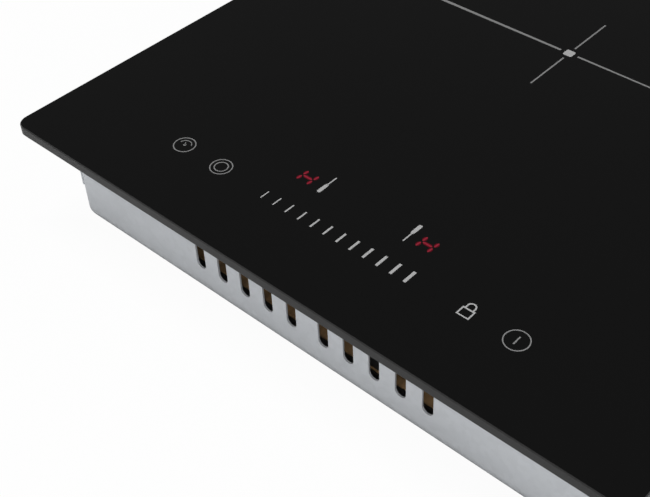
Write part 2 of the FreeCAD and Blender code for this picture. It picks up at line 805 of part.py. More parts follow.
def sensor(zone):
    """Temperature sensor cup in the former's hub, pressed against the glass."""
    y = ZONES[zone][0]
    cup = rod(f"cup_{zone}", "sensor_dia / 2", f"{UNDER_GLASS} - {FERRITE_TOP}", "0", y, FERRITE_TOP)
    lip = rod(f"cup_lip_{zone}", "sensor_dia / 2 + 1.5", "1", "0", y, f"{FERRITE_TOP} - 1")
    keep(joined(f"sensor_{zone}", [cup, lip]))


def buffers(zone):
    """Four grooved rubber buffers around the former's posts, from the ears to the plate."""
    tall = f"({FERRITE_TOP} - {PLATE_TOP})"
    parts = []
    for i, spot in enumerate(post_spots(zone)):
        blank = rod(f"buffer_blank_{zone}_{i}", "buffer_radius", tall, *spot, PLATE_TOP)
        bore = rod(f"buffer_bore_{zone}_{i}", "post_dia / 2 + air / 2", tall, *spot, PLATE_TOP)
        grooves = []
        for share in (0.3, 0.7):
            groove = doc.addObject("Part::Torus", f"buffer_groove_{zone}_{i}_{round(share * 10)}")
            bind(groove, "Radius1", "buffer_radius + buffer_groove / 3")
            bind(groove, "Radius2", "buffer_groove")
            place(groove, *spot, f"{PLATE_TOP} + {tall} * {share}")
            grooves.append(groove)
        parts.append(less(f"buffer_{zone}_{i}", blank, [bore] + grooves))
    keep(group(f"coil_buffers_{zone}", parts))


def coils():
    """Both zones' pieces."""
    for zone, (y, outer, bars) in ZONES.items():
        keep(spiral(zone))
        former(zone)
        ferrites(zone)
        disc(f"coil_shield_{zone}", zone, f"{outer} + former_lip", f"{SHIELD_TOP} - shield_thick",
             "shield_thick", "coil_hole - 6", True)
        disc(f"insulation_{zone}", zone, f"{outer} + former_lip", COIL_TOP, "mica_thick",
             "sensor_dia / 2 + 1", False)
        sensor(zone)
        buffers(zone)


# ---- the power board ------------------------------------------------------------------------

def board_carrier():
    """Black plastic carrier: a floor with a low rim and bosses under the power board."""
    made = body("board_carrier")
    y = BOARD_Y
    outline = sketch(made, "carrier_outline", at=("0", y, "board_rise - 3"))
    add_rectangle(outline, f"{BOARD_WIDE} + 2 * carrier_wall", "board_long + 2 * carrier_wall")
    pad(made, outline, "4")
    well = sketch(made, "carrier_well", at=("0", y, "board_rise - 3 + carrier_wall"))
    add_rectangle(well, f"{BOARD_WIDE} - 3", "board_long - 3")
    pocket(made, well, "board_rise", back=True)
    seat = sketch(made, "carrier_seat", at=("0", y, "board_rise"))
    add_rectangle(seat, f"{BOARD_WIDE} + 0.4", "board_long + 0.4")
    pocket(made, seat, "4", back=True)
    for i, (a, b) in enumerate(signs((-1, 0, 1), (-1, 0, 1))):
        spot = (f"{a} * ({BOARD_WIDE} / 2 - 8)", f"{y} + {b} * (board_long / 2 - 8)", "steel")
        boss = sketch(made, f"boss_{i}", at=spot)
        add_circle(boss, "4")
        pad(made, boss, "board_rise - steel")
    keep(made)


def power_board():
    """The power board."""
    made = body("power_board")
    outline = sketch(made, "board_outline", at=("0", BOARD_Y, "board_rise"))
    add_rectangle(outline, BOARD_WIDE, "board_long")
    pad(made, outline, "board_thick")
    keep(made)


def heat_sink():
    """Extruded aluminium heat sink with upright fins along the air's way."""
    made = body("heat_sink")
    base = sketch(made, "sink_base_outline", at=("sink_x", "sink_y", SINK_UNDER))
    add_rectangle(base, "sink_wide", "sink_long")
    pad(made, base, "sink_base")
    spot = ("sink_x - sink_wide / 2 + fin_thick / 2", "sink_y", f"{SINK_UNDER} + sink_base")
    fin = sketch(made, "sink_fin", at=spot)
    add_rectangle(fin, "fin_thick", "sink_long")
    first = pad(made, fin, "sink_tall - sink_base")
    row(made, first, "X_Axis", "(sink_wide - fin_thick) / (fin_count - 1)", "fin_count")
    keep(made)


def power_chips():
    """Power transistors and a bridge rectifier flat under the heat sink, legs in the board."""
    parts = []
    x = "(sink_x - sink_wide / 2 + 12)"
    bend = f"({x} - chip_wide / 2 - 4.9)"
    level = f"({BOARD_TOP} + 1.6)"
    for i in range(round(num("chip_count"))):
        y = f"(sink_y - sink_long / 2 + 20 + {i} * (sink_long - 40) / (chip_count - 1))"
        pieces = [block(f"chip_{i}", "chip_wide", "chip_deep", "chip_thick", x, y,
                        f"{SINK_UNDER} - chip_thick")]
        for leg in (-1, 0, 1):
            spot = f"{y} + ({leg}) * leg_pitch"
            pieces.append(block(f"leg_{i}_{leg + 1}", "6", "leg_wide", "leg_thick", f"{bend} + 2.9",
                                spot, level))
            pieces.append(block(f"foot_{i}_{leg + 1}", "leg_thick", "leg_wide", f"{level} - {BOARD_TOP} + 0.1",
                                bend, spot, BOARD_TOP))
        parts.append(joined(f"transistor_{i}", pieces))
    keep(group("power_chips", parts))


def sink_posts():
    """Four threaded posts that hold the heat sink off the board."""
    parts = [rod(f"post_{a}_{b}", "3", f"{SINK_UNDER} - {BOARD_TOP}", f"sink_x + {a} * (sink_wide / 2 - 5)",
                 f"sink_y + {b} * (sink_long / 2 - 5)", BOARD_TOP) for a, b in signs()]
    keep(group("sink_posts", parts))


# Boxed parts on the board: width, depth, height, middle in X, middle from the board's front edge.
BOARD_PARTS = {
    "film_capacitors": [(26, 12, 18, -15, 62), (26, 12, 18, -15, 80), (26, 12, 18, -15, 98),
                        (30, 14, 20, "sink_x - 54", "board_long - 38")],
    "relays": [(19, 15, 15, LEFT_COLUMN, 40), (19, 15, 15, LEFT_COLUMN, 62), (19, 15, 15, LEFT_COLUMN, 84)],
    "transformer": [(22, 8, 19, f"{LEFT_COLUMN} + 34", 54), (22, 8, 19, f"{LEFT_COLUMN} + 34", 74),
                    (16, 12, 16, f"{LEFT_COLUMN} + 34", 64)],
    "pin_strip": [(14, 3, 8.5, 26, 2)],
    "control_chips": [(12, 12, 1.6, 14, 18), (6, 5, 1.8, f"{RIGHT_COLUMN} - 38", 16), (6, 5, 1.8, -10, 18),
                      (14, 8, 3.2, -40, 22)],
    "connectors": [(18, 7, 9, -70, 16), (12, 7, 9, f"{RIGHT_COLUMN} - 24", 12), (9, 7, 8, RIGHT_COLUMN, 12),
                   (12, 9, 14, SUPPLY_X, f"{SUPPLY_Y} - board_front"),
                   (10, 7, "plug_tall", 14, f"{PLUG_Y} - board_front"),
                   (7, 6, 6, 0, "front_zone_y - board_front"), (7, 6, 6, 0, f"{PLUG_Y} - board_front"),
                   ("ribbon_wide + 4", 6, "plug_tall", "ribbon_x", f"{RIBBON_Y} - board_front")],
}
CAN_RADIUS = "6.5"
CAN_TALL = "20"
CAN_PITCH = 17
CHOKE_X = f"({LEFT_COLUMN} + 33)"
CHOKE_Y = "(board_front + board_long - 50)"
STUD_RADIUS = "4"


def boxed_parts():
    """The boxed parts on the power board."""
    for name, pieces in BOARD_PARTS.items():
        parts = [block(f"{name}_{i}", *map(str, (wide, deep, tall, x)), f"board_front + {y}", BOARD_TOP)
                 for i, (wide, deep, tall, x, y) in enumerate(pieces)]
        keep(group(name, parts))


def round_parts():
    """The round parts on the power board: cans, choke and the coils' studs."""
    cans = [rod(f"can_{i}", CAN_RADIUS, CAN_TALL, SUPPLY_X, f"board_front + {104 + CAN_PITCH * i}", BOARD_TOP)
            for i in range(3)]
    keep(group("electrolytic_cans", cans))
    ring = doc.addObject("Part::Torus", "choke_core")
    ring.Radius1 = 14
    ring.Radius2 = 5
    place(ring, CHOKE_X, CHOKE_Y, f"{BOARD_TOP} + 5")
    keep(joined("choke", [ring, rod("choke_base", "9", "1.5", CHOKE_X, CHOKE_Y, BOARD_TOP)]))
    studs = []
    for zone in ZONES:
        turns, lead_in, lead_out = winding_ends(zone)
        for i, spot in enumerate((lead_in[-1], lead_out[-1])):
            place_at = (f"{spot.x:.3f}", f"{spot.y:.3f}", BOARD_TOP)
            studs.append(rod(f"stud_{zone}_{i}", STUD_RADIUS, "stud_tall", *place_at))
    keep(group("lead_studs", studs))


def supply_leads():
    """Three leads from the terminals to their plug on the power board."""
    lead = num("lead_dia")
    level = num("box_rise + box_wall + terminal_tall + 1") + lead / 2
    start = num(f"{BOX_FRONT} - terminal_back - 2.6")
    end = num(f"{SUPPLY_Y} + 4.5")
    leads = []
    for i in (-1, 0, 1):
        x = num(f"{COVER_X} + ({i} - 0.5) * terminal_pitch")
        goal = num(SUPPLY_X) + 4 * i
        points = [V(x, start, level), V(x, start - 50, level), V(goal, start - 75, level), V(goal, end, level)]
        leads.append(tube(points, lead, num("lead_bend")))
    keep(computed("supply_leads", Part.makeCompound(leads)))


def fan_lead():
    """The fan's lead, over its lid and down to a plug."""
    lead = num("lead_dia")
    level = num("steel + fan_tall") + lead / 2
    start = V(num("fan_x - 15"), num("fan_y - 5"), level)
    plug = V(14, num(PLUG_Y), num(f"{BOARD_TOP} + plug_tall"))
    points = [start, V(plug.x, start.y, level), V(plug.x, plug.y, level), plug]
    keep(computed("fan_lead", tube(points, lead, 5)))


def sensor_leads():
    """One thin lead from each zone's sensor down to its plug."""
    lead = num("thin_lead")
    top = num(f"{FERRITE_TOP} - 1")
    low = num(f"{BOARD_TOP} + 6")
    run = num(f"{PLATE_UNDER} - 4")
    near = num("front_zone_y")
    far = num("rear_zone_y")
    plug = num(PLUG_Y)
    routes = [[V(0, near, top), V(0, near, low)],
              [V(0, far, top), V(0, far, run), V(0, plug, run), V(0, plug, low)]]
    keep(computed("sensor_leads", Part.makeCompound([tube(points, lead, 4) for points in routes])))


def touch_ribbon():
    """Flat cable from the touch board through the coil plate to the power board."""
    back = num(f"{TOUCH_Y} + touch_deep / 2")
    x = num("ribbon_x")
    y = num(RIBBON_Y)
    level = num(f"{TOUCH_UNDER} + board_thick / 2")
    path = Part.Wire(routed([V(x, back, level), V(x, y, level), V(x, y, num(f"{BOARD_TOP} + plug_tall"))], 3))
    half = num("ribbon_wide / 2")
    rise = num("ribbon_thick / 2")
    corners = [V(x + a * half, back, level + b * rise) for a, b in ((-1, -1), (1, -1), (1, 1), (-1, 1))]
    section = Part.makePolygon(corners + corners[:1])
    keep(computed("touch_ribbon", path.makePipeShell([section], True, False)))


# ---- the fan --------------------------------------------------------------------------------

FAN_UNDER = "(steel + fan_wall)"
FAN_LID = "(steel + fan_tall - fan_wall)"


def fan_housing():
    """Blower housing: floor with an inlet, lid, walls and an outlet to the front."""
    made = body("fan_housing")
    reach = "fan_radius + fan_room"
    outline = sketch(made, "housing_outline", at=("fan_x", "fan_y", "steel"))
    add_circle(outline, reach)
    pad(made, outline, "fan_tall")
    duct = sketch(made, "housing_duct", at=("fan_x", f"fan_y - ({reach}) / 2 - 2", "steel"))
    add_rectangle(duct, "duct_wide", f"{reach} + 4")
    pad(made, duct, "fan_tall")
    room = sketch(made, "housing_room", at=("fan_x", "fan_y", FAN_UNDER))
    add_circle(room, f"{reach} - fan_wall")
    pocket(made, room, "fan_tall - 2 * fan_wall", back=True)
    way = sketch(made, "housing_way", at=("fan_x", f"fan_y - ({reach}) / 2 - 6", FAN_UNDER))
    add_rectangle(way, "duct_wide - 2 * fan_wall", f"{reach} + 12 - 2 * fan_wall")
    pocket(made, way, "fan_tall - 2 * fan_wall", back=True)
    inlet = sketch(made, "housing_inlet", at=("fan_x", "fan_y", "steel"))
    add_circle(inlet, "fan_radius - 2")
    pocket(made, inlet, "fan_wall", back=True)
    keep(made)


def fan_motor():
    """Motor base under the lid: coil core and a bush for the shaft."""
    made = body("fan_motor")
    room = f"({FAN_LID} - {FAN_UNDER})"
    core = sketch(made, "motor_core", at=("fan_x", "fan_y", FAN_LID))
    add_circle(core, "fan_hub - 4")
    pad(made, core, f"{room} * 0.55", back=True)
    flange = sketch(made, "motor_flange", at=("fan_x", "fan_y", FAN_LID))
    add_circle(flange, "fan_hub + 3")
    pad(made, flange, "1.5", back=True)
    bore = sketch(made, "motor_bore", at=("fan_x", "fan_y", f"{FAN_LID} - 1"))
    add_circle(bore, "fan_shaft / 2 + fit")
    pocket(made, bore, f"{room}")
    keep(made)


def fan_rotor():
    """Rotor: a cup around the motor, a back disc and a ring of upright blades."""
    made = body("fan_rotor")
    low = f"({FAN_UNDER} + 1)"
    tall = f"({FAN_LID} - {FAN_UNDER} - 3.4)"
    cup = sketch(made, "rotor_cup", at=("fan_x", "fan_y", low))
    add_circle(cup, "fan_hub")
    pad(made, cup, tall)
    hollow = sketch(made, "rotor_hollow", at=("fan_x", "fan_y", f"{low} + ({tall}) * 0.3"))
    add_circle(hollow, "fan_hub - 1.6")
    pocket(made, hollow, tall, back=True)
    disc_sketch = sketch(made, "rotor_disc", at=("fan_x", "fan_y", low))
    add_circle(disc_sketch, "fan_radius")
    add_circle(disc_sketch, "fan_radius - 9", "_inside")
    pad(made, disc_sketch, "1.2")
    spoke = sketch(made, "rotor_spoke", at=("fan_x + (fan_hub + fan_radius) / 2 - 3", "fan_y", low))
    add_rectangle(spoke, "fan_radius - fan_hub - 2", "3")
    rib = pad(made, spoke, "1.2")
    centre = sketch(made, "rotor_axis", at=("fan_x", "fan_y", "0"))
    centre.addGeometry(Part.Circle(V(0, 0, 0), V(0, 0, 1), 1), True)
    ring_of(made, rib, (centre, ["N_Axis"]), "6")
    blade = sketch(made, "rotor_blade", at=("fan_x + fan_radius - 4", "fan_y", low), turn="28")
    add_rectangle(blade, "7", "1")
    vane = pad(made, blade, tall)
    ring_of(made, vane, (centre, ["N_Axis"]), "fan_blades")
    bore = sketch(made, "rotor_bore", at=("fan_x", "fan_y", low))
    add_circle(bore, "fan_shaft / 2")
    pocket(made, bore, tall, back=True)
    keep(made)


def fan_axle():
    """Steel shaft pressed into the rotor, running in the motor's bush."""
    keep(rod("fan_axle", "fan_shaft / 2", f"{FAN_LID} - 1.5 - {FAN_UNDER} - 1", "fan_x", "fan_y",
             f"{FAN_UNDER} + 1"))


# ---- the touch board ------------------------------------------------------------------------

def touch_carrier():
    """Plastic bridge from the coil plate up to the touch board."""
    made = body("touch_carrier")
    tall = f"({TOUCH_UNDER} - {PLATE_TOP})"
    outline = sketch(made, "bridge_outline", at=("0", TOUCH_Y, PLATE_TOP))
    add_rectangle(outline, "touch_wide", "touch_deep")
    pad(made, outline, tall)
    well = sketch(made, "bridge_well", at=("0", TOUCH_Y, f"{PLATE_TOP} + 1.5"))
    add_rectangle(well, "touch_wide - 5", "touch_deep - 5")
    pocket(made, well, tall, back=True)
    keep(made)


def touch_board():
    """The touch board, its springs, the two display blocks and the lamps."""
    keep(block("touch_board", "touch_wide", "touch_deep", "board_thick", "0", TOUCH_Y, TOUCH_UNDER))
    row_y = "(touch_row - glass_depth / 2)"
    spots = [f"({i} - (slider_pads - 1) / 2) * slider_pitch" for i in range(round(num("slider_pads")))]
    spots += [f"{side} * {name}" for side in (-1, 1) for name in ("lock_x", "power_x")]
    pads = []
    for i, x in enumerate(spots):
        cup = rod(f"pad_{i}", "2.6", "touch_drop", x, row_y, TOUCH_TOP)
        hole = rod(f"pad_hole_{i}", "2.1", "touch_drop - 2", x, row_y, f"{TOUCH_TOP} + 1")
        pads.append(less(f"touch_spring_{i}", cup, [hole]))
    keep(group("touch_springs", pads))
    low = "touch_drop - 0.4"
    for side, tag in ((-1, "left"), (1, "right")):
        x = f"{side} * display_x"
        keep(block(f"display_{tag}", "10", "13", low, x, "display_row - glass_depth / 2", TOUCH_TOP))
    keep(block("touch_chip", "10", "8", "1.4", "0", "display_row - glass_depth / 2", TOUCH_TOP))


# ---- the terminal box -----------------------------------------------------------------------

BOX_FRONT = "(tray_depth / 2 - steel)"
BOX_Y = f"({BOX_FRONT} - box_deep / 2)"
COVER_X = "(box_x - box_wide / 2 + box_wall + 1.4 + cover_wide / 2)"
HINGE_Z = "(box_rise + box_wall + 1.4 + hinge_barrel / 2)"
HINGE_Y = f"({BOX_FRONT} - hinge_barrel / 2 + 0.6)"
COVER_TALL = f"(box_rise + box_tall - box_wall - 0.4 - {HINGE_Z})"
BUSH_X = "(box_x + box_wide / 2 - box_wall - 2.5 - cable_bore / 2 - bush_wall)"
BUSH_Z = "(box_rise + box_tall / 2)"


def terminal_box():
    """Plastic box behind the tray's rear wall, open at the terminals, with a wall for the bush."""
    made = body("terminal_box")
    outline = sketch(made, "box_outline", at=("box_x", BOX_Y, "box_rise"))
    add_rectangle(outline, "box_wide", "box_deep")
    pad(made, outline, "box_tall")
    front = f"-({BOX_FRONT})"
    cell = sketch(made, "box_cell", "XZ_Plane", at=(COVER_X, "box_rise + box_tall / 2", front))
    add_rectangle(cell, "cover_wide + 0.8", "box_tall - 2 * box_wall")
    pocket(made, cell, "box_deep - box_wall", back=True)
    tunnel_wide = "(box_wide - 3 * box_wall - cover_wide - 0.8)"
    tunnel_x = f"(box_x + box_wide / 2 - box_wall - {tunnel_wide} / 2)"
    tunnel = sketch(made, "box_tunnel", "XZ_Plane", at=(tunnel_x, BUSH_Z, f"{front} + 4"))
    add_rectangle(tunnel, tunnel_wide, "box_tall - 2 * box_wall")
    pocket(made, tunnel, "box_deep - box_wall - 4", back=True)
    hole = sketch(made, "bush_hole", "XZ_Plane", at=(BUSH_X, BUSH_Z, front))
    add_circle(hole, "cable_bore / 2 + bush_wall + fit")
    pocket(made, hole, "8", back=True)
    door = sketch(made, "box_door", "XZ_Plane", at=(f"{COVER_X} + cover_wide / 2 + 1", BUSH_Z, f"{front} + 16"))
    add_rectangle(door, "10", "box_tall - 2 * box_wall")
    pocket(made, door, "12", back=True)
    pin = sketch(made, "pin_holes", "YZ_Plane", at=(HINGE_Y, HINGE_Z, COVER_X))
    add_circle(pin, "hinge_dia / 2")
    bore = made.newObject("PartDesign::Pocket", "pin_holes_pocket")
    bore.Profile = pin
    bore.Midplane = True
    bind(bore, "Length", "cover_wide + 4.8")
    doc.recompute()
    inlet = sketch(made, "lead_window", "XZ_Plane", at=(COVER_X, "box_rise + box_wall + 12", front))
    add_rectangle(inlet, "34", "10")
    pocket(made, inlet, "box_deep", back=True)
    keep(made)


def terminal_cover():
    """Cover over the terminals: plate, hinge barrel along its lower edge, snap lip on top."""
    plate = block("cover_plate", "cover_wide", "cover_thick", COVER_TALL, COVER_X,
                  f"{BOX_FRONT} + 0.6 - cover_thick / 2", HINGE_Z)
    barrel = rod("cover_barrel", "hinge_barrel / 2", "cover_wide", f"{COVER_X} - cover_wide / 2",
                 HINGE_Y, HINGE_Z, "X")
    parts = [plate, barrel]
    for i in range(5):
        x = f"{COVER_X} + ({i} - 2) * 10"
        parts.append(block(f"cover_rib_{i}", "1.2", "1.2", f"{COVER_TALL} - 8", x,
                           f"{BOX_FRONT} + 0.6 - cover_thick - 0.6", f"{HINGE_Z} + 4"))
    parts.append(block("cover_tongue", "12", "3", "1.2", COVER_X, f"{BOX_FRONT} - 1.5",
                       f"{HINGE_Z} + {COVER_TALL} - 1.2"))
    blank = joined("cover_blank", parts)
    bore = rod("cover_bore", "hinge_dia / 2 + fit", "cover_wide + 2", f"{COVER_X} - cover_wide / 2 - 1",
               HINGE_Y, HINGE_Z, "X")
    keep(less("terminal_cover", blank, [bore]))


def hinge_pin():
    """Steel pin through the cover's barrel, held in the box's cheeks."""
    keep(rod("hinge_pin", "hinge_dia / 2", "cover_wide + 4.8", f"{COVER_X} - cover_wide / 2 - 2.4",
             HINGE_Y, HINGE_Z, "X"))


def terminal_block():
    """A plastic bar with a row of terminals and ribs between them."""
    y = f"{BOX_FRONT} - terminal_back"
    low = "box_rise + box_wall"
    count = round(num("terminal_count"))
    long = "terminal_count * terminal_pitch - 0.4"
    pieces = [block("terminal_bar", long, "terminal_deep", "terminal_tall", COVER_X, y, low)]
    for i in range(count + 1):
        x = f"{COVER_X} + ({i} - {count} / 2) * terminal_pitch"
        pieces.append(block(f"terminal_rib_{i}", "1.2", "terminal_deep", "5", x, y, f"{low} + terminal_tall"))
    keep(joined("terminal_block", pieces))
    screws = []
    for i in range(count):
        x = f"{COVER_X} + ({i} - {count - 1} / 2) * terminal_pitch"
        plate = block(f"terminal_plate_{i}", "6", "9", "1", x, y, f"{low} + terminal_tall")
        head = rod(f"terminal_head_{i}", "terminal_head", "terminal_head", x, y, f"{low} + terminal_tall + 1")
        screws.append(joined(f"terminal_{i}", [plate, head]))
    keep(group("terminal_screws", screws))


def cable_entry():
    """Bush for the supply cable in the box's wall, and the clamp behind it."""
    outer = "(cable_bore / 2 + bush_wall)"
    bush = rod("bush_body", outer, "bush_long", BUSH_X, f"{BOX_FRONT} - bush_long + 0.5", BUSH_Z, "Y")
    lip = rod("bush_rim", f"{outer} + bush_lip", "1.2", BUSH_X, BOX_FRONT, BUSH_Z, "Y")
    bore = rod("bush_bore", "cable_bore / 2", "2 * bush_long", BUSH_X, f"{BOX_FRONT} - bush_long - 1",
               BUSH_Z, "Y")
    keep(less("cable_bush", joined("bush_blank", [bush, lip]), [bore]))
    y = f"{BOX_FRONT} - clamp_back"
    low = "box_rise + box_wall"
    saddle = f"({BUSH_Z} - {low} - cable_bore / 2)"
    rest = block("clamp_rest", "cable_bore + 8", "clamp_wide", f"{saddle} + 2", BUSH_X, y, low)
    groove = rod("clamp_groove", "cable_bore / 2", "clamp_wide + 4", BUSH_X, f"{y} - clamp_wide / 2 - 2",
                 BUSH_Z, "Y")
    keep(less("clamp_saddle", rest, [groove]))


def main():
    """Build every sub-part, check it and write it out."""
    glass_plate()
    edge_seal()
    bond_bead()
    carrier_frame()
    tray()
    tray_screws()
    coil_plate()
    coils()
    board_carrier()
    power_board()
    heat_sink()
    power_chips()
    sink_posts()
    boxed_parts()
    round_parts()
    supply_leads()
    fan_lead()
    sensor_leads()
    touch_ribbon()
    fan_housing()
    fan_motor()
    fan_rotor()
    fan_axle()
    touch_carrier()
    touch_board()
    terminal_box()
    terminal_cover()
    hinge_pin()
    terminal_block()
    cable_entry()
    export()


def export():
    """Stop on any failed object, then write one STEP file for each sub-part."""
    doc.recompute()
    failed = [made.Name for made in doc.Objects if {"Invalid", "Error"} & set(made.State)]
    if failed:
        raise RuntimeError(f"failed objects: {failed}")
    os.makedirs("parts", exist_ok=True)
    for made in nodes:
        if made.Shape.isNull() or not made.Shape.isValid():
            raise RuntimeError(f"{made.Label} has no sound shape")
        made.Shape.exportStep(f"parts/{made.Label}.step")
        print(made.Label, len(made.Shape.Solids), round(made.Shape.Volume))


main()
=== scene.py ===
"""Finishes, printed marks and studio for a two-zone induction cooktop.

Lengths in the property groups are in metres. The object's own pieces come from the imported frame.
"""

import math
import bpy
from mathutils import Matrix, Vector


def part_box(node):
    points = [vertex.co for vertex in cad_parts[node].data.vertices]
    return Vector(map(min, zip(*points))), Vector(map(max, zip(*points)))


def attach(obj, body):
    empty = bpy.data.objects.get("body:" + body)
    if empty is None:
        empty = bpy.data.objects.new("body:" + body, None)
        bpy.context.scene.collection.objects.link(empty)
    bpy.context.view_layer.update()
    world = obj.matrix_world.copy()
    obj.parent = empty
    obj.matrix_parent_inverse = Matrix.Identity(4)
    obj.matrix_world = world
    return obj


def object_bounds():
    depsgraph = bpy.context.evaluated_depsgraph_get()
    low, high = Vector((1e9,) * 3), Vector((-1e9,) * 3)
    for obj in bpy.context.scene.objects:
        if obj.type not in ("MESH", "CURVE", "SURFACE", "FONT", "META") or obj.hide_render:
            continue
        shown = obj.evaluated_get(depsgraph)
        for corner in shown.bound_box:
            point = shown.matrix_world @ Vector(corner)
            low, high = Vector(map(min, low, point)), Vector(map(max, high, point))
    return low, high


bl_info = {
    "name": "Induction Cooktop Finishes",
    "version": (1, 0, 0),
    "blender": (4, 5, 0),
    "location": "View3D > Sidebar > Cooktop",
    "description": "Gives an induction cooktop its finishes, printed marks, lit digits and studio",
    "category": "Object",
}

import bmesh
import bpy
from bpy.props import FloatProperty, FloatVectorProperty, IntProperty, PointerProperty
from mathutils import Matrix, Vector

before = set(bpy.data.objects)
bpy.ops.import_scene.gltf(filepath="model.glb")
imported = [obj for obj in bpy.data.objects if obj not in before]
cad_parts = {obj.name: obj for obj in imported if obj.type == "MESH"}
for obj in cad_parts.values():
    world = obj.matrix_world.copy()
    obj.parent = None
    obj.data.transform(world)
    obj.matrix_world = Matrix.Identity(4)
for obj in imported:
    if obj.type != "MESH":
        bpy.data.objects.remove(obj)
CAD_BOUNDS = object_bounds()
MM = 0.001
FLOOR_HALF = 6.0
FLOOR_DROP = 0.2 * MM
# How much of the floor's own white the camera sees, and how far the painted shadow beside the object
# reaches.
FLOOR_GLOW = 0.965
PAINTED_SHADOW_REACH = 22 * MM
TIMER_ARC = (math.radians(25), math.radians(172))
TIMER_HAND_TURN = math.radians(30)
TIMER_HAND_TAPER = 0.35
DIGIT_SLANT = math.radians(-6)
# The glow under a digit is this share of the ink's height, so the digit stays on top.
HALO_HEIGHT = 0.5

GLASS_LOW, GLASS_HIGH = (Vector(corner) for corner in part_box("glass_plate"))
GLASS_TOP = GLASS_HIGH.z
FRONT_EDGE = GLASS_LOW.y
ZONE_CENTRES = {}
for zone in ("front", "rear"):
    low, high = (Vector(corner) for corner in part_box(f"insulation_{zone}"))
    ZONE_CENTRES[zone] = (low + high) / 2


def length(name, millimetres, description):
    """A length property with a default in millimetres."""
    return FloatProperty(name=name, description=description, default=millimetres * MM, unit="LENGTH",
                         precision=5, min=0.0)


def colour(name, grey_or_rgb, description):
    """A linear colour property."""
    rgb = (grey_or_rgb,) * 3 if isinstance(grey_or_rgb, float) else grey_or_rgb
    return FloatVectorProperty(name=name, description=description, subtype="COLOR", size=3, default=rgb,
                               min=0.0, max=1.0)


class CooktopMarkSizes(bpy.types.PropertyGroup):
    """Sizes and places of the printed marks, from the front edge and the middle line."""

    ink_thick: length("Ink thickness", 0.03, "Height of a printed mark over the glass")
    line: length("Line", 0.43, "Width of a thin printed line")
    row: length("Control row", 33.5, "Touch marks' centres from the front edge")
    display_row: length("Display row", 50.6, "Digits' centres from the front edge")
    timer_row: length("Timer row", 34.3, "Timer mark's centre from the front edge")
    power_x: length("Outer marks", 80.1, "Timer and power marks from the middle")
    lock_x: length("Lock mark", 59.8, "Lock mark from the middle")
    boost_x: length("Boost mark", 59.1, "Boost mark from the middle")
    boost_row: length("Boost row", 34.0, "Boost mark's centre from the front edge")
    ring: length("Ring radius", 4.4, "Radius of the round touch marks")
    inner_ring: length("Inner ring radius", 2.728, "Radius of the timer's arc and the inner ring")
    arc_line: length("Arc line", 0.344, "Width of the timer's arc")
    dot: length("Timer dot", 0.6, "Radius of the dot in the timer mark")
    hand_wide: length("Timer hand width", 0.7, "Width of the timer's hand at the dot")
    hand_tall: length("Timer hand length", 1.5, "Length of the timer's hand")
    hand_left: length("Hand to the left", 0.4, "Hand's middle to the left of the dot")
    hand_up: length("Hand up", 0.7, "Hand's middle beyond the dot")
    power_ring: length("Power ring", 4.62, "Radius of the power mark")
    power_wide: length("Power bar width", 0.516, "Width of the bar in the power mark")
    power_tall: length("Power bar length", 4.1, "Length of the bar in the power mark")
    lock_wide: length("Lock width", 5.3, "Width of the padlock's body")
    lock_tall: length("Lock height", 4.3, "Height of the padlock's body")
    lock_drop: length("Lock drop", 3.0, "Control row to the foot of the padlock")
    lock_line: length("Lock line", 0.5805, "Width of the padlock's lines")
    shackle: length("Shackle radius", 1.6, "Radius of the padlock's shackle")
    shackle_leg: length("Shackle leg", 1.2, "Straight part of the padlock's shackle")
    tick_pitch: length("Tick pitch", 6.3, "Slider ticks, centre to centre")
    tick_foot: length("Tick foot", 30.7, "Ticks' near ends from the front edge")
    tick_short: length("Shortest tick", 4.5, "Length of the first slider tick")
    tick_long: length("Longest tick", 6.3, "Length of the last slider tick")
    tick_thin: length("Thinnest tick", 0.45, "Width of the first slider tick")
    tick_wide: length("Widest tick", 1.25, "Width of the last slider tick")
    ticks: IntProperty(name="Ticks", description="Number of slider ticks", default=12, min=2)
    digit_x: length("Digits", 29.1, "Digits from the middle")
    digit_wide: length("Digit width", 5.3, "Width of a seven-segment digit")
    digit_tall: length("Digit height", 6.9, "Height of a seven-segment digit")
    segment_half: length("Segment half width", 0.36, "Half the width of a lit segment")
    halo_half: length("Glow half width", 0.8, "Half the width of the glow round a segment")
    upright_gap: length("Upright gap", 0.7, "An upright segment is this much short of half the digit")
    middle_gap: length("Middle gap", 0.9, "The middle segment is this much short of the digit's width")
    front_sign_x: length("Front-zone sign", 20.5, "Front-zone sign from the middle")
    rear_sign_x: length("Rear-zone sign", 21.1, "Rear-zone sign from the middle")
    sign_lift: length("Sign lift", 1.4, "Signs' middle beyond the display row")
    sign_wide: length("Sign width", 1.6, "Width of a sign's head")
    sign_head: length("Sign head", 5.1, "Length of a sign's head")
    sign_corner: length("Sign corner", 0.45, "Corner radius of a sign's head")
    sign_stem: length("Sign stem", 5.1, "Length of a sign's stem")
    stem_wide: length("Stem width", 0.55, "Width of a sign's stem")
    stem_gap: length("Stem gap", 0.35, "Sign's head to its stem")
    collar_wide: length("Collar width", 1.2, "Width of the collar between head and stem")
    collar_tall: length("Collar length", 0.5, "Length of the collar between head and stem")
    collar_gap: length("Collar gap", 0.2, "Sign's head to the collar's middle")
    cross_square: length("Cross square", 4.3, "Square at the middle of a zone")
    cross_gap: length("Cross gap", 4.3, "Zone centre to the start of each line")
    cross_reach: length("Cross reach", 28.8, "Zone centre to the end of the short lines")
    cross_side: length("Cross side reach", 96.0, "Zone centre to the end of the long lines")
    cross_corner: length("Square corner", 0.7, "Corner radius of the square")
    short_line: length("Short line", 0.7, "Width of the short lines")
    left_near: length("Left line, near", 1.15, "Width of the left line at the square")
    left_far: length("Left line, far", 1.7, "Width of the left line at its end")
    right_near: length("Right line, near", 1.05, "Width of the right line at the square")
    right_far: length("Right line, far", 0.45, "Width of the right line at its end")


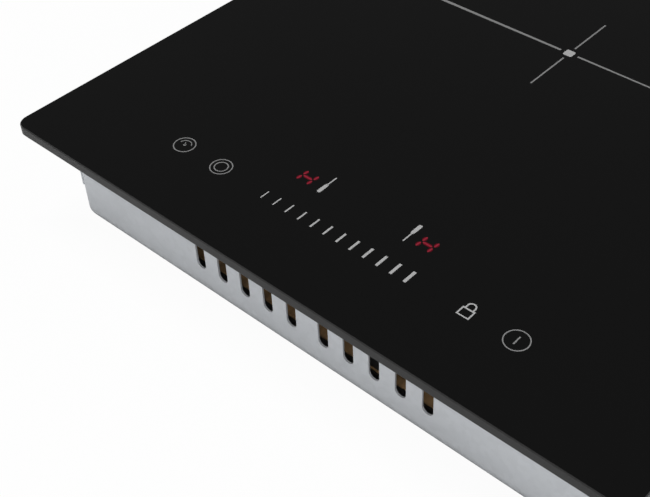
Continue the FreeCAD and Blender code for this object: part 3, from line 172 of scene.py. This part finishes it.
class CooktopColours(bpy.types.PropertyGroup):
    """Colours of the finishes, linear."""

    glass: colour("Glass", 0.0042, "Black glass ceramic")
    bevel: colour("Bevel", 0.022, "Ground bevel of the glass")
    ink: colour("Ink", 0.42, "Printed marks")
    line_ink: colour("Line ink", 0.23, "Fine lines of the zone crosses")
    digit: colour("Digit", (0.22, 0.017, 0.032), "Lit digit segments")
    halo: colour("Halo", (0.06, 0.001, 0.006), "Red glow around a lit segment")
    zinc: colour("Zinc", (0.545, 0.564, 0.588), "Zinc-coated sheet")
    board: colour("Board", (0.34, 0.21, 0.10), "Lacquered brown board")
    foam: colour("Foam", 0.022, "Worktop seal")
    plastic: colour("Plastic", 0.018, "Black moulded plastic")
    copper: colour("Copper", (0.62, 0.27, 0.13), "Enamelled litz wire")
    aluminium: colour("Aluminium", 0.68, "Mill-finish aluminium")
    floor: colour("Floor", 0.76, "Studio floor away from the object")
    # Painted shadow: the floor's colour right beside the object, darker than the rest, seen in the
    # tray's reflections.
    painted_contact_shadow: colour("Contact", 0.1, "Studio floor beside the object")


class CooktopStudio(bpy.types.PropertyGroup):
    """The camera's place and the studio."""

    azimuth: FloatProperty(name="Azimuth", description="Camera's turn about Z",
                           default=math.radians(41.59), subtype="ANGLE")
    elevation: FloatProperty(name="Elevation", description="Camera's height angle",
                             default=math.radians(42.75), subtype="ANGLE")
    roll: FloatProperty(name="Roll", description="Camera's roll", default=math.radians(-1.07),
                        subtype="ANGLE")
    distance: length("Distance", 414.6, "Camera to the point it looks at")
    aim_x: length("Aim x", 12.7, "Point looked at, from the middle line")
    aim_y: length("Aim y", 37.9, "Point looked at, from the front edge")
    lens: FloatProperty(name="Lens", description="Focal length in millimetres", default=64.5)
    shift_x: FloatProperty(name="Shift x", description="Sideways lens shift", default=-0.068)
    shift_y: FloatProperty(name="Shift y", description="Upward lens shift", default=-0.0084)


# ---- materials ------------------------------------------------------------------------------

def new_material(name):
    """A node material, its tree and its Principled shader."""
    made = bpy.data.materials.new(name)
    made.use_nodes = True
    tree = made.node_tree
    return made, tree, tree.nodes["Principled BSDF"]


def add(tree, kind, **values):
    """Add a node and set its settings and unlinked sockets."""
    node = tree.nodes.new(kind)
    for key, value in values.items():
        if hasattr(node, key):
            setattr(node, key, value)
        else:
            node.inputs[key.replace("_", " ").title()].default_value = value
    return node


def noise(tree, scale, detail, stretch=None):
    """Object-space noise; returns its factor socket."""
    place = tree.nodes.new("ShaderNodeTexCoord")
    texture = add(tree, "ShaderNodeTexNoise", scale=scale, detail=detail, roughness=0.55)
    if stretch:
        mapping = tree.nodes.new("ShaderNodeMapping")
        mapping.inputs["Scale"].default_value = stretch
        tree.links.new(place.outputs["Object"], mapping.inputs["Vector"])
        tree.links.new(mapping.outputs["Vector"], texture.inputs["Vector"])
    else:
        tree.links.new(place.outputs["Object"], texture.inputs["Vector"])
    return texture.outputs["Fac"]


def ramp(tree, factor, stops):
    """A colour ramp on a factor; stops are (place, colour)."""
    node = tree.nodes.new("ShaderNodeValToRGB")
    elements = node.color_ramp.elements
    while len(elements) < len(stops):
        elements.new(0.5)
    for element, (place, tint) in zip(elements, stops):
        element.position = place
        element.color = (*tint, 1.0) if hasattr(tint, "__len__") else (tint, tint, tint, 1.0)
    tree.links.new(factor, node.inputs["Fac"])
    return node.outputs["Color"]


def scaled(tint, factor):
    """A colour times a factor, as a tuple."""
    return tuple(min(1.0, channel * factor) for channel in tint)


def bump(tree, shader, height, strength, distance):
    """Drive a shader's normal from a height socket."""
    node = tree.nodes.new("ShaderNodeBump")
    node.inputs["Strength"].default_value = strength
    node.inputs["Distance"].default_value = distance
    tree.links.new(height, node.inputs["Height"])
    tree.links.new(node.outputs["Normal"], shader.inputs["Normal"])


def glass_ceramic(tints):
    """Polished black glass with a ground, lighter bevel and a satin edge, told apart by their slope;
    the bevel is painted twice as light as the upright edge, a painted highlight along the bevel.
    """
    made, tree, shader = new_material("black_glass_ceramic")
    slope = tree.nodes.new("ShaderNodeNewGeometry")
    split = tree.nodes.new("ShaderNodeSeparateXYZ")
    tree.links.new(slope.outputs["True Normal"], split.inputs[0])
    # Painted highlight: the upright edge takes half the bevel's tint, so the bevel shows lighter. The
    # ground glass is lighter than the polished top by its own tone.
    edge = scaled(tints.bevel, 0.5)
    tint = ramp(tree, split.outputs["Z"], [(0.0, edge), (0.30, edge), (0.45, tints.bevel),
                                          (0.85, tints.bevel), (0.97, tints.glass)])
    tree.links.new(tint, shader.inputs["Base Color"])
    shine = ramp(tree, split.outputs["Z"], [(0.0, 0.28), (0.9, 0.28), (0.97, 0.5)])
    tree.links.new(shine, shader.inputs["Specular IOR Level"])
    rough = ramp(tree, split.outputs["Z"], [(0.0, 0.34), (0.85, 0.30), (0.97, 0.055)])
    smear = ramp(tree, noise(tree, 9.0, 3.0), [(0.35, 0.0), (0.75, 0.03)])
    total = tree.nodes.new("ShaderNodeMath")
    total.operation = "ADD"
    tree.links.new(rough, total.inputs[0])
    tree.links.new(smear, total.inputs[1])
    tree.links.new(total.outputs[0], shader.inputs["Roughness"])
    shader.inputs["IOR"].default_value = 1.5
    return made


def zinc_sheet(name, tint):
    """Zinc-coated sheet: soft spangle, a fine bump and clouding."""
    made, tree, shader = new_material(name)
    place = tree.nodes.new("ShaderNodeTexCoord")
    spangle = add(tree, "ShaderNodeTexVoronoi", scale=420.0)
    tree.links.new(place.outputs["Object"], spangle.inputs["Vector"])
    flakes = ramp(tree, spangle.outputs["Color"],
                  [(0.0, scaled(tint, 0.94)), (1.0, scaled(tint, 1.04))])
    clouds = ramp(tree, noise(tree, 12.0, 4.0), [(0.3, 0.94), (0.7, 1.0)])
    mix = tree.nodes.new("ShaderNodeMix")
    mix.data_type = "RGBA"
    mix.blend_type = "MULTIPLY"
    mix.inputs["Factor"].default_value = 1.0
    tree.links.new(flakes, mix.inputs["A"])
    tree.links.new(clouds, mix.inputs["B"])
    tree.links.new(mix.outputs["Result"], shader.inputs["Base Color"])
    shader.inputs["Metallic"].default_value = 0.6
    rough = ramp(tree, spangle.outputs["Color"], [(0.0, 0.44), (1.0, 0.56)])
    tree.links.new(rough, shader.inputs["Roughness"])
    bump(tree, shader, noise(tree, 900.0, 2.0), 0.12, 0.0002)
    return made


def brushed_metal(name, tint, rough=0.38):
    """Rolled or drawn metal with fine lines along Y."""
    made, tree, shader = new_material(name)
    lines = noise(tree, 60.0, 5.0, stretch=(12.0, 0.6, 12.0))
    tree.links.new(ramp(tree, lines, [(0.3, scaled(tint, 0.88)), (0.7, tint)]),
                   shader.inputs["Base Color"])
    shader.inputs["Metallic"].default_value = 1.0
    tree.links.new(ramp(tree, lines, [(0.3, rough - 0.06), (0.7, rough + 0.08)]),
                   shader.inputs["Roughness"])
    bump(tree, shader, lines, 0.08, 0.0002)
    return made


def moulded(name, tint, rough=0.45, grain=700.0):
    """Moulded plastic or foam with a fine grain and slight clouding."""
    made, tree, shader = new_material(name)
    clouds = noise(tree, 40.0, 3.0)
    tree.links.new(ramp(tree, clouds, [(0.3, scaled(tint, 0.85)), (0.7, scaled(tint, 1.12))]),
                   shader.inputs["Base Color"])
    tree.links.new(ramp(tree, clouds, [(0.3, rough - 0.05), (0.7, rough + 0.06)]),
                   shader.inputs["Roughness"])
    bump(tree, shader, noise(tree, grain, 2.0), 0.2, 0.0003)
    return made


def lacquered_board(name, tint, speck):
    """Circuit board: fibre mottling under a lacquer."""
    made, tree, shader = new_material(name)
    mottle = noise(tree, 320.0, 5.0, stretch=(1.0, 0.3, 1.0))
    tree.links.new(ramp(tree, mottle, [(0.3, scaled(tint, 0.62)), (0.62, tint), (0.8, speck)]),
                   shader.inputs["Base Color"])
    shader.inputs["Roughness"].default_value = 0.36
    bump(tree, shader, mottle, 0.1, 0.0002)
    return made


def printed_ink(name, tint):
    """Fired-on ink: slightly granular, matt."""
    made, tree, shader = new_material(name)
    grain = noise(tree, 2400.0, 2.0)
    tree.links.new(ramp(tree, grain, [(0.3, scaled(tint, 0.86)), (0.7, scaled(tint, 1.08))]),
                   shader.inputs["Base Color"])
    shader.inputs["Roughness"].default_value = 0.42
    return made


def lit_segment(name, glow):
    """Red light that comes through the glass, a little uneven."""
    made, tree, shader = new_material(name)
    grain = noise(tree, 1500.0, 2.0)
    tint = ramp(tree, grain, [(0.3, scaled(glow, 0.75)), (0.7, glow)])
    shader.inputs["Base Color"].default_value = (0.05, 0.0, 0.002, 1.0)
    tree.links.new(tint, shader.inputs["Emission Color"])
    shader.inputs["Emission Strength"].default_value = 1.0
    shader.inputs["Roughness"].default_value = 0.3
    return made


# Which finish each CAD piece takes.
FINISHES = {
    "glass": ["glass_plate"],
    "zinc": ["tray", "carrier_frame"],
    "screw": ["tray_screws", "terminal_screws", "sink_posts", "fan_axle", "hinge_pin"],
    "aluminium": ["coil_plate", "coil_shield_front", "coil_shield_rear", "heat_sink"],
    "copper": ["winding_front", "winding_rear"],
    "foam": ["edge_seal", "bond_bead"],
    "black_plastic": ["coil_former_front", "coil_former_rear", "board_carrier", "fan_housing",
                      "touch_carrier", "power_chips", "relays", "control_chips", "touch_chip",
                      "electrolytic_cans", "pin_strip", "fan_motor", "ferrites_front", "ferrites_rear"],
    "rotor_plastic": ["fan_rotor"],
    "box_plastic": ["terminal_box", "terminal_cover", "clamp_saddle"],
    "bush_rubber": ["cable_bush"],
    "buffer_rubber": ["coil_buffers_front", "coil_buffers_rear"],
    "white_plastic": ["sensor_front", "sensor_rear", "terminal_block", "connectors"],
    "mica": ["insulation_front", "insulation_rear"],
    "brown_board": ["power_board"],
    "green_board": ["touch_board"],
    "case_red": ["film_capacitors", "transformer", "choke"],
    "brass": ["lead_studs", "touch_springs"],
    "display_window": ["display_left", "display_right"],
    "sleeve": ["supply_leads", "fan_lead", "sensor_leads", "touch_ribbon"],
}


def build_finishes(tints):
    """Every finish of the CAD pieces, by its name in FINISHES."""
    return {
        "glass": glass_ceramic(tints),
        "zinc": zinc_sheet("zinc_sheet", tints.zinc),
        "screw": brushed_metal("plated_screw", (0.55, 0.55, 0.56), 0.3),
        "aluminium": brushed_metal("mill_aluminium", tints.aluminium),
        "copper": brushed_metal("enamelled_litz", tints.copper, 0.36),
        "foam": moulded("foam_strip", tints.foam, 0.85, 1500.0),
        "black_plastic": moulded("black_moulding", tints.plastic),
        "rotor_plastic": moulded("rotor_moulding", scaled(tints.plastic, 1.6), 0.4),
        "box_plastic": moulded("box_moulding", scaled(tints.plastic, 1.3), 0.5),
        "bush_rubber": moulded("bush_rubber", scaled(tints.plastic, 0.8), 0.7),
        "buffer_rubber": moulded("buffer_rubber", (0.28, 0.06, 0.03), 0.62),
        "white_plastic": moulded("white_moulding", (0.72, 0.70, 0.64), 0.42),
        "mica": lacquered_board("mica_sheet", (0.50, 0.40, 0.26), (0.66, 0.58, 0.42)),
        "brown_board": lacquered_board("brown_board", tints.board, scaled(tints.board, 1.6)),
        "green_board": lacquered_board("green_board", (0.02, 0.12, 0.05), (0.05, 0.2, 0.09)),
        "case_red": moulded("capacitor_case", (0.42, 0.10, 0.04), 0.3),
        "brass": brushed_metal("tinned_brass", (0.72, 0.58, 0.30), 0.3),
        "display_window": moulded("display_window", (0.12, 0.012, 0.014), 0.2),
        "sleeve": moulded("lead_sleeve", (0.34, 0.03, 0.025), 0.5),
    }


# ---- mesh helpers ---------------------------------------------------------------------------

class Print:
    """Collects flat outlines in millimetres and raises them off the glass as one piece."""

    def __init__(self):
        self.mesh = bmesh.new()

    def face(self, points):
        """A flat face through points in the plan."""
        corners = [self.mesh.verts.new((x * MM, y * MM, 0.0)) for x, y in points]
        made = self.mesh.faces.new(corners)
        made.normal_update()
        if made.normal.z < 0:
            made.normal_flip()

    def bar(self, x, y, wide, tall, turn=0.0, taper=1.0):
        """A bar about its middle; taper scales its far end's width."""
        spin = Matrix.Rotation(turn, 2)
        half = tall / 2
        corners = [(-wide / 2, -half), (wide / 2, -half),
                   (wide / 2 * taper, half), (-wide / 2 * taper, half)]
        self.face([(x + p.x, y + p.y) for p in (spin @ Vector(c) for c in corners)])

    def ring(self, x, y, radius, line, start=0.0, end=math.tau, steps=96):
        """A ring or an arc of one line width."""
        count = max(6, round(steps * (end - start) / math.tau))
        closed = end - start > math.tau - 1e-6
        rims = []
        for size in (radius - line / 2, radius + line / 2):
            angles = [start + (end - start) * i / count for i in range(count if closed else count + 1)]
            rims.append([self.mesh.verts.new(((x + size * math.cos(angle)) * MM,
                                              (y + size * math.sin(angle)) * MM, 0.0))
                         for angle in angles])
        inner, outer = rims
        last = len(inner) if closed else len(inner) - 1
        for i in range(last):
            j = (i + 1) % len(inner)
            self.mesh.faces.new((inner[i], outer[i], outer[j], inner[j]))

    def disc(self, x, y, radius, steps=32):
        """A filled disc."""
        angles = [math.tau * i / steps for i in range(steps)]
        self.face([(x + radius * math.cos(angle), y + radius * math.sin(angle)) for angle in angles])

    def rounded(self, x, y, wide, tall, corner, steps=5):
        """A rectangle with round corners."""
        points = []
        for quarter, (sx, sy) in enumerate(((1, 1), (-1, 1), (-1, -1), (1, -1))):
            for i in range(steps + 1):
                angle = math.pi / 2 * (quarter + i / steps)
                points.append((x + sx * (wide / 2 - corner) + corner * math.cos(angle),
                               y + sy * (tall / 2 - corner) + corner * math.sin(angle)))
        self.face(points)

    def finish(self, name, thick, material, slot):
        """Raise the outlines, put the piece on the glass and let it ride on the root."""
        bmesh.ops.recalc_face_normals(self.mesh, faces=self.mesh.faces)
        for face in self.mesh.faces:
            if face.normal.z < 0:
                face.normal_flip()
        lifted = bmesh.ops.extrude_face_region(self.mesh, geom=list(self.mesh.faces))
        tops = [g for g in lifted["geom"] if isinstance(g, bmesh.types.BMVert)]
        bmesh.ops.translate(self.mesh, verts=tops, vec=(0.0, 0.0, thick))
        bmesh.ops.translate(self.mesh, verts=self.mesh.verts, vec=(0.0, FRONT_EDGE, GLASS_TOP))
        bmesh.ops.recalc_face_normals(self.mesh, faces=self.mesh.faces)
        data = bpy.data.meshes.new(name)
        self.mesh.to_mesh(data)
        self.mesh.free()
        piece = bpy.data.objects.new(name, data)
        bpy.context.scene.collection.objects.link(piece)
        data.materials.append(material)
        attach(piece, "root")
        return piece


def ink_material():
    """The bold marks' material, made once."""
    tints = bpy.context.scene.cooktop_colours
    return bpy.data.materials.get("fired_ink") or printed_ink("fired_ink", tints.ink)


def line_material():
    """The greyer material of thin rings and lines, made once."""
    tints = bpy.context.scene.cooktop_colours
    return bpy.data.materials.get("line_ink") or printed_ink("line_ink", tints.line_ink)


def mark_sizes():
    """The marks' sizes, in millimetres, by name."""
    group = bpy.context.scene.cooktop_marks
    return {name: getattr(group, name) / MM for name in group.__annotations__ if name != "ticks"}


# ---- operators ------------------------------------------------------------------------------

class COOKTOP_OT_finishes(bpy.types.Operator):
    """Give every CAD piece its finish"""

    bl_idname = "cooktop.finishes"
    bl_label = "Finishes"

    def execute(self, context):
        made = build_finishes(context.scene.cooktop_colours)
        covered = set()
        for finish, names in FINISHES.items():
            for name in names:
                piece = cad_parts[name]
                piece.data.materials.clear()
                piece.data.materials.append(made[finish])
                covered.add(name)
        missed = set(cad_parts) - covered
        if missed:
            raise RuntimeError(f"pieces without a finish: {sorted(missed)}")
        return {"FINISHED"}


class COOKTOP_OT_touch_marks(bpy.types.Operator):
    """Print the timer, boost, lock and power marks"""

    bl_idname = "cooktop.touch_marks"
    bl_label = "Touch Marks"

    def execute(self, context):
        s = mark_sizes()
        ink = line_material()
        thick = s["ink_thick"] * MM
        timer = Print()
        x = -s["power_x"]
        y = s["timer_row"]
        timer.ring(x, y, s["ring"], s["line"])
        timer.ring(x, y, s["inner_ring"], s["arc_line"], *TIMER_ARC)
        timer.disc(x, y, s["dot"])
        timer.bar(x - s["hand_left"], y + s["hand_up"], s["hand_wide"], s["hand_tall"],
                  TIMER_HAND_TURN, TIMER_HAND_TAPER)
        timer.finish("mark_timer", thick, ink, "black_glass")
        boost = Print()
        boost.ring(-s["boost_x"], s["boost_row"], s["ring"], s["line"])
        boost.ring(-s["boost_x"], s["boost_row"], s["inner_ring"], s["line"])
        boost.finish("mark_boost", thick, ink, "black_glass")
        lock = Print()
        self.padlock(lock, s)
        lock.finish("mark_lock", thick, ink_material(), "black_glass")
        power = Print()
        power.ring(s["power_x"], s["row"], s["power_ring"], s["line"])
        power.bar(s["power_x"], s["row"], s["power_wide"], s["power_tall"])
        power.finish("mark_power", thick, ink, "black_glass")
        return {"FINISHED"}

    def padlock(self, lock, s):
        """Body outline and shackle of the lock mark."""
        x = s["lock_x"]
        line = s["lock_line"]
        low = s["row"] - s["lock_drop"]
        wide, tall = s["lock_wide"], s["lock_tall"]
        leg = s["shackle_leg"]
        for side in (-1, 1):
            lock.bar(x + side * (wide - line) / 2, low + tall / 2, line, tall)
            lock.bar(x, low + tall / 2 + side * (tall - line) / 2, wide - 2 * line, line)
            lock.bar(x + side * s["shackle"], low + tall + leg / 2, line, leg)
        lock.ring(x, low + tall + leg, s["shackle"], line, 0.0, math.pi)


class COOKTOP_OT_slider(bpy.types.Operator):
    """Print the slider's ticks, which grow to the right"""

    bl_idname = "cooktop.slider"
    bl_label = "Slider Ticks"

    def execute(self, context):
        s = mark_sizes()
        ticks = Print()
        count = context.scene.cooktop_marks.ticks
        for i in range(count):
            share = i / (count - 1)
            wide = s["tick_thin"] + share * (s["tick_wide"] - s["tick_thin"])
            tall = s["tick_short"] + share * (s["tick_long"] - s["tick_short"])
            ticks.bar((i - (count - 1) / 2) * s["tick_pitch"], s["tick_foot"] + tall / 2, wide, tall)
        ticks.finish("mark_slider", s["ink_thick"] * MM, ink_material(), "black_glass")
        return {"FINISHED"}


class COOKTOP_OT_zone_signs(bpy.types.Operator):
    """Print the front-zone and rear-zone signs beside the digits"""

    bl_idname = "cooktop.zone_signs"
    bl_label = "Zone Signs"

    def execute(self, context):
        s = mark_sizes()
        signs = Print()
        head, stem = s["sign_head"], s["sign_stem"]
        middle = s["display_row"] + s["sign_lift"]
        for side, x in ((-1, -s["front_sign_x"]), (1, s["rear_sign_x"])):
            centre = middle + side * stem / 2
            foot = centre - side * head / 2
            signs.rounded(x, centre, s["sign_wide"], head, s["sign_corner"])
            signs.bar(x, foot - side * (s["stem_gap"] + stem / 2), s["stem_wide"], stem)
            signs.bar(x, foot - side * s["collar_gap"], s["collar_wide"], s["collar_tall"])
        signs.finish("mark_zone_signs", s["ink_thick"] * MM, ink_material(), "black_glass")
        return {"FINISHED"}


class COOKTOP_OT_digits(bpy.types.Operator):
    """Make the two lit digits: the residual-heat letter in seven segments"""

    bl_idname = "cooktop.digits"
    bl_label = "Lit Digits"

    def execute(self, context):
        s = mark_sizes()
        tints = context.scene.cooktop_colours
        lit = lit_segment("lit_segment", tints.digit)
        halo = lit_segment("segment_halo", tints.halo)
        thick = s["ink_thick"] * MM
        layers = (("digit", s["segment_half"], thick, lit),
                  ("halo", s["halo_half"], thick * HALO_HEIGHT, halo))
        for side, tag in ((-1, "left"), (1, "right")):
            for name, half, height, material in layers:
                glyph = Print()
                self.letter(glyph, side * s["digit_x"], s, half)
                glyph.finish(f"{name}_{tag}", height, material, "display_red")
        return {"FINISHED"}

    def letter(self, glyph, x, s, half):
        """The five segments of one letter, about x on the display row."""
        y = s["display_row"]
        wide, tall = s["digit_wide"], s["digit_tall"]
        upright = tall / 2 - s["upright_gap"]
        for sx in (-1, 1):
            for sy in (-1, 1):
                lean = sy * tall / 4 * math.tan(-DIGIT_SLANT)
                self.segment(glyph, x + sx * wide / 2 + lean, y + sy * tall / 4, upright,
                             DIGIT_SLANT, half)
        self.segment(glyph, x, y, wide - s["middle_gap"], math.pi / 2, half)

    def segment(self, glyph, x, y, tall, turn, half):
        """One bar of a digit, with pointed ends."""
        outline = [(0, -tall / 2), (half, -tall / 2 + half), (half, tall / 2 - half), (0, tall / 2),
                   (-half, tall / 2 - half), (-half, -tall / 2 + half)]
        spin = Matrix.Rotation(turn, 2)
        glyph.face([(x + p.x, y + p.y) for p in (spin @ Vector(c) for c in outline)])


class COOKTOP_OT_zone_crosses(bpy.types.Operator):
    """Print the cross at the middle of each cooking zone"""

    bl_idname = "cooktop.zone_crosses"
    bl_label = "Zone Crosses"

    def execute(self, context):
        s = mark_sizes()
        thick = s["ink_thick"] * MM
        gap = s["cross_gap"]
        tall = s["cross_reach"] - gap
        for name, centre in ZONE_CENTRES.items():
            square = Print()
            y = (centre.y - FRONT_EDGE) / MM
            square.rounded(0.0, y, s["cross_square"], s["cross_square"], s["cross_corner"])
            square.finish(f"mark_square_{name}", thick, ink_material(), "black_glass")
            cross = Print()
            for side, tag in ((-1, "left"), (1, "right")):
                cross.bar(0.0, y + side * (gap + tall / 2), s["short_line"], tall)
                near, far = side * gap, side * s["cross_side"]
                thin, wide = s[f"{tag}_near"] / 2, s[f"{tag}_far"] / 2
                cross.face([(near, y - thin), (far, y - wide), (far, y + wide), (near, y + thin)])
            cross.finish(f"mark_zone_{name}", thick, line_material(), "black_glass")
        return {"FINISHED"}


# Each lamp's name, place and width in metres, and its power in watts.
LAMPS = (("key", (0.9, -1.5, 1.15), 1.2, 34.0), ("fill", (-1.3, -1.1, 0.8), 1.2, 16.0),
         ("right", (1.6, 0.5, 0.7), 1.0, 12.0), ("back", (0.4, 1.9, 0.8), 1.2, 14.0))
LAMP_AIM = Vector((0.0, -0.1, 0.03))


class COOKTOP_OT_stage(bpy.types.Operator):
    """Set the floor, the world, the lamps and the camera"""

    bl_idname = "cooktop.stage"
    bl_label = "Stage"

    def execute(self, context):
        self.floor(context)
        self.world(context)
        self.lamps()
        self.camera(context)
        context.scene.view_settings.view_transform = "Standard"
        return {"FINISHED"}

    def floor(self, context):
        """A pale floor that looks white to the camera and keeps a soft shadow; beside the object its
        colour is darkened into a painted shadow, which shows mostly in reflections.
        """
        made, tree, shader = new_material("studio_floor")
        tints = context.scene.cooktop_colours
        gap = self.distance_from_object(tree)
        # Painted shadow: the floor's colour darkens towards the object, from the floor colour to the
        # painted shadow colour.
        shade = ramp(tree, gap, [(0.0, tints.painted_contact_shadow), (1.0, tints.floor)])
        tree.links.new(shade, shader.inputs["Base Color"])
        shader.inputs["Roughness"].default_value = 0.9
        glow = add(tree, "ShaderNodeEmission", strength=1.0)
        glow.inputs["Color"].default_value = (1.0, 1.0, 1.0, 1.0)
        path = tree.nodes.new("ShaderNodeLightPath")
        share = tree.nodes.new("ShaderNodeMath")
        share.operation = "MULTIPLY"
        share.inputs[1].default_value = FLOOR_GLOW
        tree.links.new(path.outputs["Is Camera Ray"], share.inputs[0])
        mix = tree.nodes.new("ShaderNodeMixShader")
        output = tree.nodes["Material Output"]
        tree.links.new(share.outputs[0], mix.inputs["Fac"])
        tree.links.new(shader.outputs[0], mix.inputs[1])
        tree.links.new(glow.outputs[0], mix.inputs[2])
        tree.links.new(mix.outputs[0], output.inputs["Surface"])
        data = bpy.data.meshes.new("studio_floor")
        level = CAD_BOUNDS[0][2] - FLOOR_DROP
        corners = [(sx * FLOOR_HALF, sy * FLOOR_HALF, level)
                   for sx, sy in ((-1, -1), (1, -1), (1, 1), (-1, 1))]
        data.from_pydata(corners, [], [(0, 1, 2, 3)])
        floor = bpy.data.objects.new("studio_floor", data)
        data.materials.append(made)
        context.scene.collection.objects.link(floor)

    def distance_from_object(self, tree):
        """0 at the tray's footprint, 1 at the painted shadow's reach from it; it darkens the floor into
        a painted shadow beside the object.
        """
        low, high = (Vector(corner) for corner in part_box("tray"))
        place = tree.nodes.new("ShaderNodeTexCoord")
        split = tree.nodes.new("ShaderNodeSeparateXYZ")
        tree.links.new(place.outputs["Object"], split.inputs[0])
        gaps = []
        for axis, half in (("X", (high.x - low.x) / 2), ("Y", (high.y - low.y) / 2)):
            size = tree.nodes.new("ShaderNodeMath")
            size.operation = "ABSOLUTE"
            tree.links.new(split.outputs[axis], size.inputs[0])
            gap = tree.nodes.new("ShaderNodeMath")
            gap.operation = "SUBTRACT"
            gap.inputs[1].default_value = half
            tree.links.new(size.outputs[0], gap.inputs[0])
            gaps.append(gap)
        larger = tree.nodes.new("ShaderNodeMath")
        larger.operation = "MAXIMUM"
        tree.links.new(gaps[0].outputs[0], larger.inputs[0])
        tree.links.new(gaps[1].outputs[0], larger.inputs[1])
        share = tree.nodes.new("ShaderNodeMapRange")
        share.inputs["From Max"].default_value = PAINTED_SHADOW_REACH
        tree.links.new(larger.outputs[0], share.inputs["Value"])
        return share.outputs["Result"]

    def world(self, context):
        """White for the camera; for reflections, white at the horizon and dark overhead."""
        world = bpy.data.worlds.new("studio")
        context.scene.world = world
        world.use_nodes = True
        tree = world.node_tree
        back = tree.nodes["Background"]
        place = tree.nodes.new("ShaderNodeTexCoord")
        split = tree.nodes.new("ShaderNodeSeparateXYZ")
        tree.links.new(place.outputs["Generated"], split.inputs[0])
        sky = ramp(tree, split.outputs["Z"],
                   [(0.0, 1.0), (0.12, 0.9), (0.32, 0.085), (0.9, 0.06), (1.0, 0.2)])
        path = tree.nodes.new("ShaderNodeLightPath")
        mix = tree.nodes.new("ShaderNodeMix")
        mix.data_type = "RGBA"
        tree.links.new(path.outputs["Is Camera Ray"], mix.inputs["Factor"])
        tree.links.new(sky, mix.inputs["A"])
        mix.inputs["B"].default_value = (1.0, 1.0, 1.0, 1.0)
        tree.links.new(mix.outputs["Result"], back.inputs["Color"])
        back.inputs["Strength"].default_value = 1.0

    def lamps(self):
        """Soft area lamps round the object, left out of reflections so that the glass stays black."""
        for name, place, size, watts in LAMPS:
            lamp = bpy.data.lights.new(name, "AREA")
            lamp.energy = watts
            lamp.size = size
            holder = bpy.data.objects.new(name, lamp)
            holder.location = place
            holder.visible_glossy = False
            holder.rotation_euler = (LAMP_AIM - Vector(place)).to_track_quat("-Z", "Y").to_euler()
            bpy.context.scene.collection.objects.link(holder)

    def camera(self, context):
        """The camera, from its aim on the glass, its angles and its distance."""
        s = context.scene.cooktop_studio
        level = math.cos(s.elevation)
        forward = Vector((-math.sin(s.azimuth) * level, math.cos(s.azimuth) * level,
                          -math.sin(s.elevation)))
        right = Vector((math.cos(s.azimuth), math.sin(s.azimuth), 0.0))
        up = right.cross(forward)
        turned = right * math.cos(s.roll) + up * math.sin(s.roll)
        raised = up * math.cos(s.roll) - right * math.sin(s.roll)
        axes = Matrix((turned, raised, -forward)).transposed()
        data = bpy.data.cameras.new("view")
        data.lens = s.lens
        data.sensor_width = 36.0
        data.shift_x = s.shift_x
        data.shift_y = s.shift_y
        data.clip_start = 0.01
        camera = bpy.data.objects.new("view", data)
        aim = Vector((s.aim_x, FRONT_EDGE + s.aim_y, GLASS_TOP))
        camera.matrix_world = Matrix.Translation(aim - forward * s.distance) @ axes.to_4x4()
        context.scene.collection.objects.link(camera)
        context.scene.camera = camera


class COOKTOP_PT_panel(bpy.types.Panel):
    """Lists the cooktop's steps in the sidebar"""

    bl_idname = "COOKTOP_PT_panel"
    bl_label = "Cooktop"
    bl_space_type = "VIEW_3D"
    bl_region_type = "UI"
    bl_category = "Cooktop"

    def draw(self, context):
        for step in STEPS:
            self.layout.operator(step.bl_idname)


STEPS = (COOKTOP_OT_finishes, COOKTOP_OT_touch_marks, COOKTOP_OT_slider, COOKTOP_OT_zone_signs,
         COOKTOP_OT_digits, COOKTOP_OT_zone_crosses, COOKTOP_OT_stage)
GROUPS = {"cooktop_marks": CooktopMarkSizes, "cooktop_colours": CooktopColours,
          "cooktop_studio": CooktopStudio}


def register():
    """Register the classes and hang the property groups on the scene."""
    for kind in (*GROUPS.values(), *STEPS, COOKTOP_PT_panel):
        bpy.utils.register_class(kind)
    for name, kind in GROUPS.items():
        setattr(bpy.types.Scene, name, PointerProperty(type=kind))


def unregister():
    """Take the property groups and the classes away again."""
    for name in GROUPS:
        delattr(bpy.types.Scene, name)
    for kind in reversed((*GROUPS.values(), *STEPS, COOKTOP_PT_panel)):
        bpy.utils.unregister_class(kind)


def main():
    """Run every step in order."""
    register()
    bpy.ops.cooktop.finishes()
    bpy.ops.cooktop.touch_marks()
    bpy.ops.cooktop.slider()
    bpy.ops.cooktop.zone_signs()
    bpy.ops.cooktop.digits()
    bpy.ops.cooktop.zone_crosses()
    bpy.ops.cooktop.stage()


if __name__ == "__main__":
    main()
